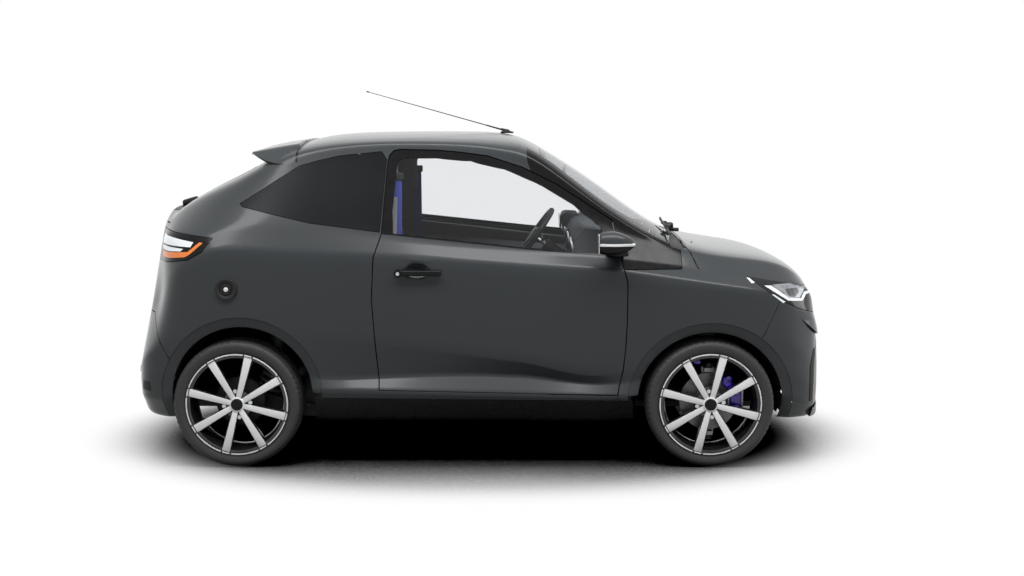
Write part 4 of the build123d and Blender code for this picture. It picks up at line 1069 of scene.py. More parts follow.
rubber = finish("tyre_rubber", (0.016, 0.016, 0.017), (0.026, 0.026, 0.027),
                roughness=(0.55, 0.7), scale=90, depth=0.0003)
tyre = turned("tyre", TYRE_PROFILE + [(-y, r) for y, r in reversed(TYRE_PROFILE)], TREAD_STEPS)
for vertex in tyre.data.vertices:
    radius = Vector((vertex.co.x, vertex.co.z)).length
    step = round(math.atan2(vertex.co.z, vertex.co.x) / (2 * pi) * TREAD_STEPS) % TREAD_STEPS
    if step % 3 == 0 and radius > CUT_FROM_RADIUS and abs(vertex.co.y) > CUT_FROM_Y:
        vertex.co.x *= 1 - CUT_DEPTH / radius
        vertex.co.z *= 1 - CUT_DEPTH / radius

# ---- Wheels --------------------------------------------------------------------------------
# Cast 16 inch alloy wheels: eight flat spokes and a thin lip machined bright, with
# gloss black flanks, barrel and bolt wells, and a plain cap over the hub nut.
alloy_black = finish("alloy_gloss_black", (0.006, 0.006, 0.007), (0.011, 0.011, 0.012),
                     roughness=(0.16, 0.26), scale=70, coat=0.4)
barrel = turned("barrel", [(-0.0800, 0.2195), (-0.0785, 0.222), (-0.073, 0.222), (-0.073, 0.2035),
                           (0.073, 0.2035), (0.073, 0.222), (0.08, 0.222), (0.08, 0.2165),
                           (0.066, 0.199), (0.02, 0.190), (-0.03, 0.190), (-0.062, 0.199),
                           (-0.0745, 0.2085), (-0.0745, 0.2115), (-0.0785, 0.2125)], 96, closed=True)


def spoke_block(y_face, y_back, half_hub, half_rim, r_hub, r_rim, rounding):
    """One tapering spoke, pointing to +X, with eased edges."""
    deselect()
    bpy.ops.mesh.primitive_cube_add(size=1)
    block = bpy.context.object
    for vertex in block.data.vertices:
        out = vertex.co.x > 0
        half = half_rim if out else half_hub
        vertex.co = (r_rim if out else r_hub, y_face if vertex.co.y < 0 else y_back,
                     half if vertex.co.z > 0 else -half)
    bpy.ops.object.mode_set(mode="EDIT")
    bpy.ops.mesh.select_all(action="SELECT")
    bpy.ops.mesh.bevel(offset=rounding, segments=2, affect="EDGES")
    bpy.ops.object.mode_set(mode="OBJECT")
    return block


def ringed(name, piece, count, first):
    """Copies of a piece turned about the axle, in one mesh."""
    copies = []
    for index in range(count):
        twin = copied(piece, name)
        twin.data.transform(Matrix.Rotation(-radians(first + 360 / count * index), 4, "Y"))
        copies.append(twin)
    bpy.data.objects.remove(piece)
    whole = joined(name, *copies)
    bpy.ops.object.shade_smooth_by_angle(angle=radians(35))
    return whole


SPOKES, SPOKE_TURN, BOLTS, BOLT_CIRCLE = 8, 30.5, 4, 57.5
SPOKE_STEP = 360 / SPOKES
flank = spoke_block(-0.0735, -0.044, 0.0135, 0.0205, 0.035, 0.2115, 0.003)
flanks = ringed("flanks", flank, SPOKES, SPOKE_TURN)
face = spoke_block(-0.0768, -0.0728, 0.0108, 0.0172, 0.027, 0.2185, 0.0008)
faces = ringed("faces", face, SPOKES, SPOKE_TURN)
hub = placed_cylinder("hub", (0, -66, 0), (0, -28, 0), 64, rounding=6, vertices=64)
hub_back = placed_cylinder("hub_back", (0, -40, 0), (0, 22, 0), 40, rounding=3, vertices=48)
bolt_heads = []
for index in range(BOLTS):
    angle = radians(SPOKE_TURN - SPOKE_STEP / 2 + 360 / BOLTS * index)
    x, z = BOLT_CIRCLE * cos(angle), BOLT_CIRCLE * sin(angle)
    bolt_heads.append(placed_cylinder("bolt", (x, -72.5, z), (x, -60, z), 10.5, rounding=2.5, vertices=6))
bolts = joined("bolts", *bolt_heads)
cap_ring = placed_cylinder("cap_ring", (0, -80.0, 0), (0, -60, 0), 31, rounding=2, vertices=48)
cap_disc = placed_cylinder("cap_disc", (0, -81.2, 0), (0, -78, 0), 26, rounding=1, vertices=48)
lip_arc = turned("lip_arc", [(-0.0803, 0.2162), (-0.0803, 0.2208), (-0.077, 0.2218), (-0.077, 0.2152)],
                 180, closed=True)
mesh = bmesh.new()
mesh.from_mesh(lip_arc.data)
near_spoke = []
for face in mesh.faces:
    place = face.calc_center_median()
    turn = (math.degrees(math.atan2(place.z, place.x)) - SPOKE_TURN) % SPOKE_STEP
    if 4.0 < min(turn, SPOKE_STEP - turn) < 5.6:
        near_spoke.append(face)
bmesh.ops.delete(mesh, geom=near_spoke, context="FACES")
mesh.to_mesh(lip_arc.data)
mesh.free()
disc_steel = finish("brake_disc_iron", (0.07, 0.07, 0.072), (0.13, 0.13, 0.132),
                    roughness=(0.3, 0.45), scale=80, metallic=0.9)
disc = turned("disc", [(-0.002, 0.052), (-0.002, 0.125), (0.010, 0.125), (0.010, 0.052)], 72, closed=True)
bell = turned("bell", [(-0.022, 0.0), (-0.022, 0.060), (-0.018, 0.064), (0.006, 0.066), (0.006, 0.0)], 48)
drum = turned("drum", [(-0.004, 0.0), (-0.004, 0.095), (0.004, 0.108), (0.022, 0.110), (0.022, 0.0)], 64)

WHEEL_PIECES = [(tyre, "tyre", rubber, "tyre"), (barrel, "wheel_barrel", alloy_black, "gloss_black"),
                (flanks, "wheel_spokes", alloy_black, "gloss_black"),
                (faces, "wheel_spoke_faces", machined_metal, "alloy"),
                (hub, "wheel_hub", alloy_black, "gloss_black"),
                (hub_back, "wheel_hub_back", alloy_black, "gloss_black"),
                (bolts, "wheel_bolts", brushed_metal, "bare_steel"),
                (cap_ring, "wheel_cap_ring", machined_metal, "alloy"),
                (cap_disc, "wheel_cap", gloss_black, "gloss_black"),
                (lip_arc, "wheel_lip", machined_metal, "alloy")]
for end, axle_x in AXLES.items():
    extra = [(disc, "brake_disc", disc_steel, "bare_steel"), (bell, "disc_bell", disc_steel, "bare_steel")]
    if end == "rear":
        extra = [(drum, "brake_drum", matt_black, "cast_metal")]
    for side, y in (("right", -WHEEL_Y), ("left", WHEEL_Y)):
        for piece, name, material, slot in WHEEL_PIECES + extra:
            part = copied(piece, f"{name}_{end}_{side}")
            if side == "left":
                part.data.transform(Matrix.Scale(-1, 4, (0, 1, 0)))
                part.data.flip_normals()
            part.data.transform(Matrix.Translation((axle_x, y, HUB_Z)))
            node = {"tyre": f"tyre_{end}_{side}", "wheel_barrel": f"rim_{end}_{side}"}.get(name)
            dress(part, f"wheel_{end}_{side}", material, slot, *([node] if node else []))
for piece, *_ in WHEEL_PIECES + [(disc,), (bell,), (drum,)]:
    bpy.data.objects.remove(piece)

# ---- Front brakes ----------------------------------------------------------------------------
# Cast callipers in bright blue enamel, in two halves with a bridge and a bracket,
# bolted to the steered knuckles ahead of and above the hubs.
blue_enamel = finish("blue_enamel", (0.06, 0.012, 0.75), (0.085, 0.02, 0.92), roughness=(0.2, 0.35),
                     scale=90, coat=0.5)


def calliper_half(x, z, length, height):
    """A cast block with a round piston boss near each end, about the wheel's centre (mm)."""
    low, high = (x - length / 2, -22, z - height / 2), (x + length / 2, 34, z + height / 2)
    body = bevelled_box("calliper", low, high, 9)
    bosses = [placed_cylinder("boss", (x + 4, -27, z + up), (x + 4, 34, z + up), 13, rounding=4)
              for up in (-height / 3, height / 3)]
    return joined("calliper", body, *bosses)


front_calliper = joined("calliper", calliper_half(117, 8, 54, 96), calliper_half(80, 88, 46, 44),
                        bevelled_box("bracket", (-72, -16, 164), (-36, 12, 188), 6),
                        bevelled_box("bridge", (74, -6, 40), (112, 22, 80), 6))
front_calliper.data.transform(Matrix.Translation((AXLES["front"], -WHEEL_Y, HUB_Z)))
dress_pair(front_calliper, "brake_calliper", ("knuckle_right", "knuckle_left"), blue_enamel, "coated_steel")

# ---- Arch flares ---------------------------------------------------------------------------
# Body-colour bands round each wheel opening, stepped out from the skin, that hide
# the panel's edge and carry the wheelhouse liners.
FLARE_ENDS = [(-1700, -10), (-1026, -10), (-1026, 330), (1001, 312), (1001, -10), (1700, -10),
              (1700, 1000), (-1700, 1000)]
flare_end = outline_block(FLARE_ENDS, -1000, 0)
for end, (x, z, radius) in ARCHES.items():
    hole = arch_block(x, z, radius)
    outer = arch_block(x, z, radius + FLARE - 1.5)
    band = patch("flare", shell_right, inside=[outer, flare_end], outside=[hole, sill_opening, underside])
    for vertex in band.data.vertices:
        reach = math.hypot(vertex.co.x * 1000 - x, vertex.co.z * 1000 - z) - radius
        vertex.co.y += 0.002 + 0.02 * max(0, 1 - reach / FLARE)
    thicken(band, 0.014, rounding=0.002)
    dress_pair(band, f"arch_flare_{end}", ROOT_PAIR, paint, "paint")

# ---- Fuel cap ------------------------------------------------------------------------------
# A round black screw cap with a stepped face and a bright key barrel, on the
# right-hand quarter.
cap_y = -751
cap_rim = turned("cap_rim", [(-0.006, 0.030), (-0.010, 0.036), (-0.010, 0.044), (-0.006, 0.047),
                             (0.02, 0.047), (0.02, 0.030)], 64, closed=True)
cap_face = turned("cap_face", [(-0.004, 0.0001), (-0.004, 0.014), (-0.008, 0.017), (-0.008, 0.021),
                               (-0.002, 0.024), (-0.002, 0.031), (0.02, 0.031), (0.02, 0.0001)], 64,
                  closed=True)
fuel_cap = joined("fuel_cap_body", cap_rim, cap_face)
fuel_cap.data.transform(Matrix.Translation((-1.073, cap_y / 1000, 0.782)))
dress(fuel_cap, "root", matt_black, "black_plastic", "fuel_cap")
key = placed_cylinder("fuel_cap_lock", (-1073, cap_y - 9, 782), (-1073, cap_y + 4, 782), 10, rounding=2)
dress(key, "root", machined_metal, "bare_steel")

# ---- Spoiler -------------------------------------------------------------------------------
# A hollow roof wing over the tailgate's header: painted above, black below, with a
# dark shut line where it meets the roof.
WING = [(-794, 512, 590, 1290, 1308, 1394, 1411, 1419), (-850, 512, 588, 1292, 1308, 1386, 1404, 1412),
        (-908, 508, 572, 1300, 1313, 1376, 1395, 1403), (-966, 500, 528, 1330, 1338, 1365, 1381, 1389),
        (-1002, 488, 492, 1351, 1354, 1359, 1366, 1372)]


def wing_ring(x, half, foot, low, edge, shoulder, mid, crown):
    """The points of one cross-section of the wing, round the underside to the start."""
    right = [(-foot + 16, low), (-foot, edge), (-half + 6, shoulder), (-half * 0.6, mid)]
    left = [(-y, z) for y, z in reversed(right)]
    return [Vector((x, y, z)) / 1000 for y, z in right + [(0, crown)] + left + [(0, low + 10)]]


def wing_sharpness(a, b):
    """Sharp at the roof, eased at the tail, and fairly sharp along both sides."""
    if abs(a.x - b.x) >= 0.001:
        return 0.75 if min(abs(a.y), abs(b.y)) > 0.46 else 0.0
    if abs(a.x * 1000 - WING[0][0]) < 2:
        return 1.0
    return 0.6 if a.x < -1.0 else 0.0


wing = loft([wing_ring(*row) for row in WING])
mesh = bmesh.from_edit_mesh(wing.data)
sharp = mesh.edges.layers.float.new("crease_edge")
for edge in mesh.edges:
    edge[sharp] = wing_sharpness(*(vertex.co for vertex in edge.verts))
bmesh.update_edit_mesh(wing.data)
bpy.ops.object.mode_set(mode="OBJECT")
smoothed(wing)
apply_modifiers(wing)
under = copied(wing, "wing_under")
for piece, keep_low in ((wing, False), (under, True)):
    mesh = bmesh.new()
    mesh.from_mesh(piece.data)
    gone = [f for f in mesh.faces if (f.normal.z < -0.35) != keep_low]
    bmesh.ops.delete(mesh, geom=gone, context="FACES")
    mesh.to_mesh(piece.data)
    mesh.free()
thicken(wing, 0.003, rounding=0.0008)
thicken(under, 0.003, rounding=0)
dress(wing, "root", paint, "paint", "spoiler")
dress(under, "root", gloss_black, "gloss_black")
wing.name, under.name = "spoiler_top", "spoiler_underside"

gasket_form = outline_block([(-794, 1318), (-787, 1318), (-787, 1500), (-794, 1500)], -700, 700)
crossing_trim("spoiler_gasket", gasket_form, 0.0025, 0.006, 0, gloss_black, "gloss_black")

# ---- Aerial --------------------------------------------------------------------------------
# A springy steel mast in a black rubber foot on the front of the roof, raked back.
foot = bevelled_box("aerial_foot", (86, -13, 1440), (150, 13, 1458), 6)
for vertex in foot.data.vertices:
    if vertex.co.z > 1.45:
        vertex.co.x += 0.012 if vertex.co.x < 0.11 else -0.02
boss = placed_cylinder("boss", (122, 0, 1450), (88, 0, 1460), 8.5, rounding=2, end_radius=5)
foot = joined("aerial_foot", foot, boss)
mast = placed_cylinder("aerial_mast", (104, 0, 1454), (-540, 0, 1634), 2.6, vertices=16, end_radius=1.4)
sleeve = placed_cylinder("sleeve", (104, 0, 1454), (20, 0, 1477.5), 4.2, vertices=20, end_radius=3.2)
tip = placed_cylinder("tip", (-536, 0, 1632.9), (-549, 0, 1636.5), 2.9, rounding=1, vertices=16)
mast = joined("aerial_mast", mast, tip)
foot = joined("aerial_foot", foot, sleeve)
dress(foot, "root", matt_black, "black_plastic", "antenna")
dress(mast, "root", finish("black_coated_steel", (0.01, 0.01, 0.01), (0.03, 0.03, 0.03),
                           roughness=(0.3, 0.4), metallic=0.6, scale=80), "coated_steel")

# ---- Wiper and washer ------------------------------------------------------------------------
# One black pressed arm parked across the foot of the screen, with its spring and
# hinge head, a rubber blade with its bow and clip, and two washer jets.
arm_head = placed_cylinder("head", (884, -160, 985), (880, -160, 1022), 15, rounding=3)
arm_hinge = bevelled_box("hinge", (862, -190, 1008), (892, -132, 1026), 5)
arm_bar = placed_cylinder("bar", (878, -185, 1018), (846, -352, 1024), 6, vertices=16, end_radius=4)
arm_spring = placed_cylinder("spring", (872, -196, 1026), (858, -270, 1028), 4.2, vertices=16)
wiper = joined("wiper_arm", arm_head, arm_hinge, arm_bar, arm_spring)
dress(wiper, "root", matt_black, "coated_steel", "wiper")
blade_bow = placed_cylinder("bow", (834, -566, 1004), (858, 60, 1034), 4.2, vertices=16)
blade_edge = placed_cylinder("edge", (832, -560, 998), (856, 56, 1027), 2.4, vertices=12)
clip = bevelled_box("clip", (834, -366, 1012), (856, -330, 1032), 3)
blade = joined("wiper_blade", blade_bow, blade_edge, clip)
dress(blade, "root", rubber, "black_plastic")
for index, y in enumerate((-230, 230)):
    jet = bevelled_box(f"washer_jet_{index}", (884, y - 14, 990), (912, y + 14, 1006), 4)
    dress(jet, "root", matt_black, "black_plastic")

# ---- Inner trim ---------------------------------------------------------------------------
# Moulded panels that line the body: door cards with an armrest, pillar and rear quarter
# trims clipped to the frame, and a pressed headlining.
below_belt_form = outline_block([(x, z - 4) for x, z in BELT], *RIGHT_SIDE)
door_card = patch("door_card", shell_right,
                  inside=[outline_block(grown(DOOR, -22), *RIGHT_SIDE), below_belt_form])
thicken(door_card, 0.007, rounding=0.002, outwards=-0.05)
dress_pair(door_card, "door_card", DOOR_PAIR, cabin_grey, "cabin_plastic")
armrest = bevelled_box("armrest", (-270, -676, 652), (210, -616, 694), 14)
pocket = bevelled_box("pocket", (-120, -670, 420), (380, -632, 540), 12)
pull = bevelled_box("pull", (160, -660, 690), (205, -628, 800), 10)
armrest = joined("door_armrest", armrest, pocket, pull)
dress_pair(armrest, "door_armrest", DOOR_PAIR, matt_black, "black_plastic")
speaker_ring = placed_cylinder("speaker", (470, -652, 480), (470, -640, 480), 70, rounding=4, vertices=48)
dress_pair(speaker_ring, "door_speaker", DOOR_PAIR, matt_black, "black_plastic")
QUARTER_TRIM = [(-1060, 720), (-760, 700), (-640, 560), (-350, 560), (-350, 1000), (-720, 1048),
                (-1060, 1110)]
PILLAR_COVER = [(-470, 990), (-352, 990), (-352, 1322), (-470, 1322)]
overlay("rear_quarter_trim", outline_block(QUARTER_TRIM, *RIGHT_SIDE), -0.045, 0.006, cabin_grey,
        "cabin_plastic", rounding=0.002)
overlay("belt_pillar_cover", outline_block(PILLAR_COVER, *RIGHT_SIDE), -0.04, 0.006, cabin_grey,
        "cabin_plastic", rounding=0.002)

lining_cloth = finish("pressed_lining_cloth", (0.33, 0.33, 0.32), (0.4, 0.4, 0.39), roughness=(0.85, 0.95),
                      scale=500, depth=0.0003, gloss=0.2)
lining_outline = [(x + (26 if x < -900 else 0), y - 12) for x, y in ROOF_PLAN]
lining_form = outline_block(both_halves(lining_outline), 1250, 1600, across="Z")
headlining = patch("headlining", shell, inside=[lining_form])
thicken(headlining, 0.006, rounding=0, outwards=-0.036)
dress(headlining, "root", lining_cloth, "cabin_plastic")

# ---- Seats -------------------------------------------------------------------------------------
# Two bucket seats: a sewn foam cushion, a backrest with side bolsters and a separate
# headrest, in charcoal cloth, on the steel frames.
def woven_cloth(name, dark, light):
    """Cloth with threads crossing both ways."""
    material = blank_material(name)
    nodes, links, shader = nodes_of(material)
    shader.inputs["Roughness"].default_value = 0.9
    shader.inputs["Sheen Weight"].default_value = 0.25
    place = nodes.new("ShaderNodeTexCoord")
    threads = []
    for direction in ("Y", "Z"):
        wave = nodes.new("ShaderNodeTexWave")
        wave.bands_direction = direction
        wave.inputs["Scale"].default_value = 160
        wave.inputs["Distortion"].default_value = 0.6
        links.new(place.outputs["Object"], wave.inputs["Vector"])
        threads.append(wave.outputs["Fac"])
    crossing = math_node(nodes, links, "MULTIPLY", *threads)
    varied(nodes, links, crossing, shader.inputs["Base Color"], dark, light)
    grained(nodes, links, shader, crossing, 0.0005, strength=0.3)
    return material


seat_cloth = woven_cloth("charcoal_seat_cloth", (0.022, 0.023, 0.026), (0.085, 0.088, 0.094))
SEAT_Y = -330
CUSHION = [(-330, 408), (140, 408), (176, 446), (166, 500), (56, 500), (-256, 482), (-318, 480)]
BACKREST = [(-424, 520), (-372, 508), (-318, 560), (-380, 770), (-448, 992), (-462, 1008), (-508, 1008),
            (-512, 990), (-470, 760)]
HEADREST = [(-470, 1024), (-462, 1118), (-490, 1148), (-516, 1134), (-512, 1026)]


STUFFING_STEPS, SEAM_REACH, SEAM_DEPTH = 20, 0.012, 0.005


def blown_up(pad, swell):
    """Fills a pad's cover by cloth pressure, and lets no point move further than a swell (m)."""
    scene = bpy.context.scene
    start = [vertex.co.copy() for vertex in pad.data.vertices]
    filling = pad.modifiers.new("filling", "CLOTH")
    filling.settings.use_pressure = True
    filling.settings.uniform_pressure_force = 4.0
    filling.settings.quality = 4
    filling.settings.effector_weights.gravity = 0
    filling.point_cache.frame_start, filling.point_cache.frame_end = 1, STUFFING_STEPS
    for step in range(1, STUFFING_STEPS + 1):
        scene.frame_set(step)
    blown = pad.evaluated_get(bpy.context.evaluated_depsgraph_get())
    places = [vertex.co.copy() for vertex in blown.data.vertices]
    pad.modifiers.remove(filling)
    for vertex, before, after in zip(pad.data.vertices, start, places):
        move = after - before
        if move.length > swell:
            move *= swell / move.length
        vertex.co = before + move
    scene.frame_set(1)


def foam_pad(name, outline, half, rounding, swell, channels):
    """A stuffed pad: a block with round edges, blown up, with seams pulled in along its channels."""
    pad = outline_block(outline, SEAT_Y - half, SEAT_Y + half)
    pad.hide_render = False
    pad.name = name
    pad.data.materials.clear()
    edges = pad.modifiers.new("edges", "BEVEL")
    edges.width, edges.segments, edges.limit_method = rounding / 1000, 4, "NONE"
    cover = pad.modifiers.new("cover", "REMESH")
    cover.mode, cover.voxel_size = "VOXEL", 0.006
    apply_modifiers(pad)
    blown_up(pad, swell)
    for vertex in pad.data.vertices:
        place = vertex.co
        for axis, middle in channels:
            off = abs(place[axis] - middle)
            if axis == 1:
                off = abs(abs(place.y - SEAT_Y / 1000) - middle)
            if off < SEAM_REACH:
                vertex.co -= vertex.normal * SEAM_DEPTH * (1 - off / SEAM_REACH)
    finer = pad.modifiers.new("finer", "SUBSURF")
    finer.levels = finer.render_levels = 1
    apply_modifiers(pad)
    make_active(pad)
    bpy.ops.object.shade_smooth()
    return pad


for name, outline, half, rounding, swell, channels, stands_for in (
        ("seat_cushion", CUSHION, 222, 24, 0.007, [(1, 0.135), (0, 0.02), (0, -0.12)], ("seats",)),
        ("seat_backrest", BACKREST, 222, 24, 0.007, [(1, 0.135), (2, 0.70), (2, 0.84)], ()),
        ("seat_headrest", HEADREST, 118, 20, 0.006, [(1, 0.085)], ())):
    pad = foam_pad(name, outline, half, rounding, swell, channels)
    left_pad = mirrored(pad, name + "_left")
    dress(left_pad, "root", seat_cloth, "seat_cloth")
    dress(pad, "root", seat_cloth, "seat_cloth", *stands_for)
    pad.name = name + "_right"
posts = joined("headrest_posts", *[placed_cylinder("post", (-488, y, 990), (-488, y, 1045), 6)
                                   for y in (SEAT_Y - 55, SEAT_Y + 55)])
dress_pair(posts, "headrest_posts", ROOT_PAIR, machined_metal, "bare_steel")

# ---- Seat belts ----------------------------------------------------------------------------------
# Woven blue webbing from a guide high on each pillar down to a reel behind the seat.
def ribbed_webbing(name, dark, light):
    material = blank_material(name)
    nodes, links, shader = nodes_of(material)
    shader.inputs["Roughness"].default_value = 0.7
    ribs = nodes.new("ShaderNodeTexWave")
    ribs.inputs["Scale"].default_value = 120
    ribs.bands_direction = "X"
    links.new(nodes.new("ShaderNodeTexCoord").outputs["Object"], ribs.inputs["Vector"])
    varied(nodes, links, ribs.outputs["Fac"], shader.inputs["Base Color"], dark, light)
    return material


belt_blue = ribbed_webbing("blue_belt_webbing", (0.03, 0.05, 0.30), (0.06, 0.09, 0.44))
strap = bevelled_box("strap", (-372, -606, 720), (-334, -603.6, 1252), 0.8, segments=1)
for vertex in strap.data.vertices:
    vertex.co.y -= 0.05 * max(0, 1.06 - vertex.co.z) / 0.34
dress_pair(strap, "belt_webbing", ROOT_PAIR, belt_blue, "seat_cloth")
guide = bevelled_box("guide", (-380, -612, 1238), (-326, -596, 1272), 6)
reel = bevelled_box("reel", (-392, -660, 640), (-320, -600, 730), 8)
dress_pair(joined("belt_guide", guide, reel), "belt_guide", ROOT_PAIR, matt_black, "black_plastic")

# ---- Dashboard ------------------------------------------------------------------------------------
# One soft grained moulding across the car, with a hooded instrument binnacle, a screen
# and a row of switches in the middle, and round vents with bright rings.
DASH_LINE = [(414, 985), (430, 1014), (452, 1030), (560, 1016), (690, 972), (690, 722), (562, 692),
             (454, 760), (410, 880)]
HOOD_LINE = [(384, 1000), (396, 1040), (414, 1047), (474, 1043), (474, 980), (404, 962)]
dash_grain = finish("soft_dash_grain", (0.06, 0.064, 0.068), (0.078, 0.082, 0.086), roughness=(0.55, 0.7),
                    scale=150, depth=0.0006, gloss=0.3)
dash = moulding("dash_moulding", DASH_LINE, -556, 556, 12, 4, 25)
dress(dash, "root", dash_grain, "cabin_plastic", "dashboard")
hood = moulding("instrument_hood", HOOD_LINE, 252, 488, 8, 3, 25)
dress(hood, "root", matt_black, "black_plastic")
display = joined("displays", bevelled_box("display", (380.5, 268, 970), (388, 472, 1030), 2),
                 bevelled_box("screen", (400, -88, 900), (412, 88, 990), 4))
display_glass = finish("display_glass", (0.004, 0.006, 0.01), (0.01, 0.014, 0.02), roughness=(0.05, 0.12),
                       scale=6)
dress(display, "root", display_glass, "gloss_black")
vent_rings, vent_cores = [], []
for y in (-490, -150, 150, 508):
    centre = Vector((0.408, y / 1000, 0.945))
    deselect()
    bpy.ops.mesh.primitive_torus_add(major_segments=40, minor_segments=10, major_radius=0.036,
                                     minor_radius=0.005, location=centre, rotation=(0, radians(78), 0))
    vent_rings.append(bpy.context.object)
    bpy.ops.object.transform_apply(location=True, rotation=True, scale=True)
    bpy.ops.object.shade_smooth()
    vent_cores.append(placed_cylinder("core", (402, y, 946), (424, y, 942), 34, rounding=1))
    for height in (-16, 0, 16):
        vane = bevelled_box("vane", (398, y - 29, 943 + height), (408, y + 29, 946 + height), 0.8, segments=1)
        vent_cores.append(vane)
dress(joined("vent_rings", *vent_rings), "root", machined_metal, "bare_steel")
dress(joined("vent_cores", *vent_cores), "root", matt_black, "black_plastic")
switches = [bevelled_box("switch", (398, y, 862), (416, y + 26, 884), 3) for y in (-90, -58, -26, 6, 38, 70)]
switches += [placed_cylinder("dial", (404, y, 830), (388, y, 832), 19, rounding=3) for y in (-52, 0, 52)]
dress(joined("dash_switches", *switches), "root", gloss_black, "gloss_black")
demister = placed_cylinder("demister", (620, -540, 1000), (620, -505, 1002), 8)
glove_line = bevelled_box("glove_box", (404, -480, 800), (420, -200, 900), 8)
dress(joined("glove_box_lid", glove_line, demister), "root", cabin_grey, "cabin_plastic")

# ---- Steering wheel -------------------------------------------------------------------------------
# A leather rim on three spokes round a padded boss, turning on the column, with two
# stalks behind it.
wheel_leather = finish("stitched_wheel_leather", (0.014, 0.014, 0.015), (0.03, 0.03, 0.032),
                       roughness=(0.4, 0.55), scale=140, depth=0.0005)
WHEEL_CENTRE, COLUMN_RAKE = (0.252, 0.370, 0.920), -55
steer_place = Matrix.Translation(WHEEL_CENTRE) @ Matrix.Rotation(radians(COLUMN_RAKE), 4, "Y")
deselect()
bpy.ops.mesh.primitive_torus_add(major_segments=96, minor_segments=16, major_radius=0.158,
                                 minor_radius=0.014)
rim = bpy.context.object
boss = bevelled_box("boss", (-62, -58, -16), (46, 58, 18), 14)
rim_grips = [bevelled_box("grip", (-24, y - 17, -15), (24, y + 17, 15), 8) for y in (-152, 152)]
leather = joined("steering_rim", rim, boss, *rim_grips)
leather.data.transform(steer_place)
bpy.ops.object.shade_smooth_by_angle(angle=radians(40))
dress(leather, "steering_wheel", wheel_leather, "wheel_leather", "steering_wheel")
spokes = joined("steering_spokes", bevelled_box("spoke", (-20, -150, -8), (16, -50, 6), 4),
                bevelled_box("spoke", (-20, 50, -8), (16, 150, 6), 4),
                bevelled_box("spoke", (-150, -18, -8), (-50, 18, 6), 4),
                placed_cylinder("shaft", (0, 0, -14), (0, 0, -144), 11))
spokes.data.transform(steer_place)
dress(spokes, "steering_wheel", brushed_metal, "bare_steel")
stalks = joined("column_stalks", *[placed_cylinder("stalk", (0, 20 * side, -48), (24, 130 * side, -40), 6,
                                                   rounding=2) for side in (1, -1)])
stalks.data.transform(steer_place)
dress(stalks, "root", matt_black, "black_plastic")

# ---- Selector and interior mirror ------------------------------------------------------------------
# A ball-topped selector with a bright collar on the tunnel, and a mirror bonded to
# the head of the screen.
deselect()
bpy.ops.mesh.primitive_uv_sphere_add(segments=32, ring_count=16, radius=0.025, location=(0.25, 0, 0.585))
knob = bpy.context.object
bpy.ops.object.shade_smooth()
dress(knob, "root", gloss_black, "gloss_black")
collar = placed_cylinder("selector_collar", (250, 0, 480), (250, 0, 492), 38, rounding=3)
dress(collar, "root", brushed_metal, "bare_steel")
mirror_back = bevelled_box("inner_mirror", (372, -105, 1206), (396, 105, 1262), 9)
mirror_stem = placed_cylinder("stem", (384, 0, 1250), (398, 0, 1290), 7)
dress(joined("inner_mirror", mirror_back, mirror_stem), "root", matt_black, "black_plastic")

# ---- Running gear and underbody -----------------------------------------------------------------------
# The pressed, cast and drawn pieces under the panels keep their own shapes: a painted
# pan and bulkhead, black arms and beams, a cast power unit, bare steel exhaust.
def coat(material, slot, *names):
    """Gives pieces that keep their own shape a finish."""
    for name in names:
        node = bpy.data.objects[name]
        if not node.material_slots:
            node.data.materials.append(material)
        for held in node.material_slots:
            held.material = material


chassis_paint = finish("electrocoated_steel", (0.014, 0.015, 0.016), (0.034, 0.035, 0.037),
                       roughness=(0.45, 0.65), scale=14, depth=0.0006, gloss=0.3)
liner_felt = finish("liner_felt", (0.008, 0.008, 0.008), (0.02, 0.02, 0.02), roughness=(0.85, 0.97),
                    scale=160, depth=0.001, gloss=0.1)
cabin_carpet = finish("needled_carpet", (0.02, 0.02, 0.022), (0.045, 0.045, 0.048), roughness=(0.9, 1.0),
                      scale=420, depth=0.001, gloss=0.1)
cast_iron = finish("machined_casting", (0.16, 0.16, 0.165), (0.3, 0.3, 0.31), roughness=(0.4, 0.6),
                   scale=45, metallic=0.85, depth=0.0006)
engine_grey = finish("cast_engine_alloy", (0.22, 0.22, 0.23), (0.36, 0.36, 0.37), roughness=(0.45, 0.65),
                     scale=35, metallic=0.7, depth=0.001)
heat_steel = finish("heat_tinted_steel", (0.24, 0.21, 0.18), (0.42, 0.4, 0.38), roughness=(0.3, 0.5),
                    scale=11, metallic=0.95)
coat(chassis_paint, "coated_steel", "floor_pan", "firewall", "front_suspension", "rear_suspension",
     "seat_frames")
coat(liner_felt, "black_plastic", "front_liners", "rear_liners")
coat(cabin_carpet, "cabin_plastic", "boot_floor")
coat(cast_iron, "cast_metal", "knuckle_left", "knuckle_right")
coat(engine_grey, "engine_metal", "engine_block")
coat(heat_steel, "bare_steel", "exhaust")
coat(matt_black, "black_plastic", "console", "steering_column")

carpet = bevelled_box("cabin_carpet", (-545, -600, 231), (560, 600, 238), 2)
dress(carpet, "root", cabin_carpet, "cabin_plastic")

# ---- Springs --------------------------------------------------------------------------------------------
# Wound bar springs in pale grey enamel, one for each wheel.
STEPS_PER_TURN, BAR_SIDES = 24, 8


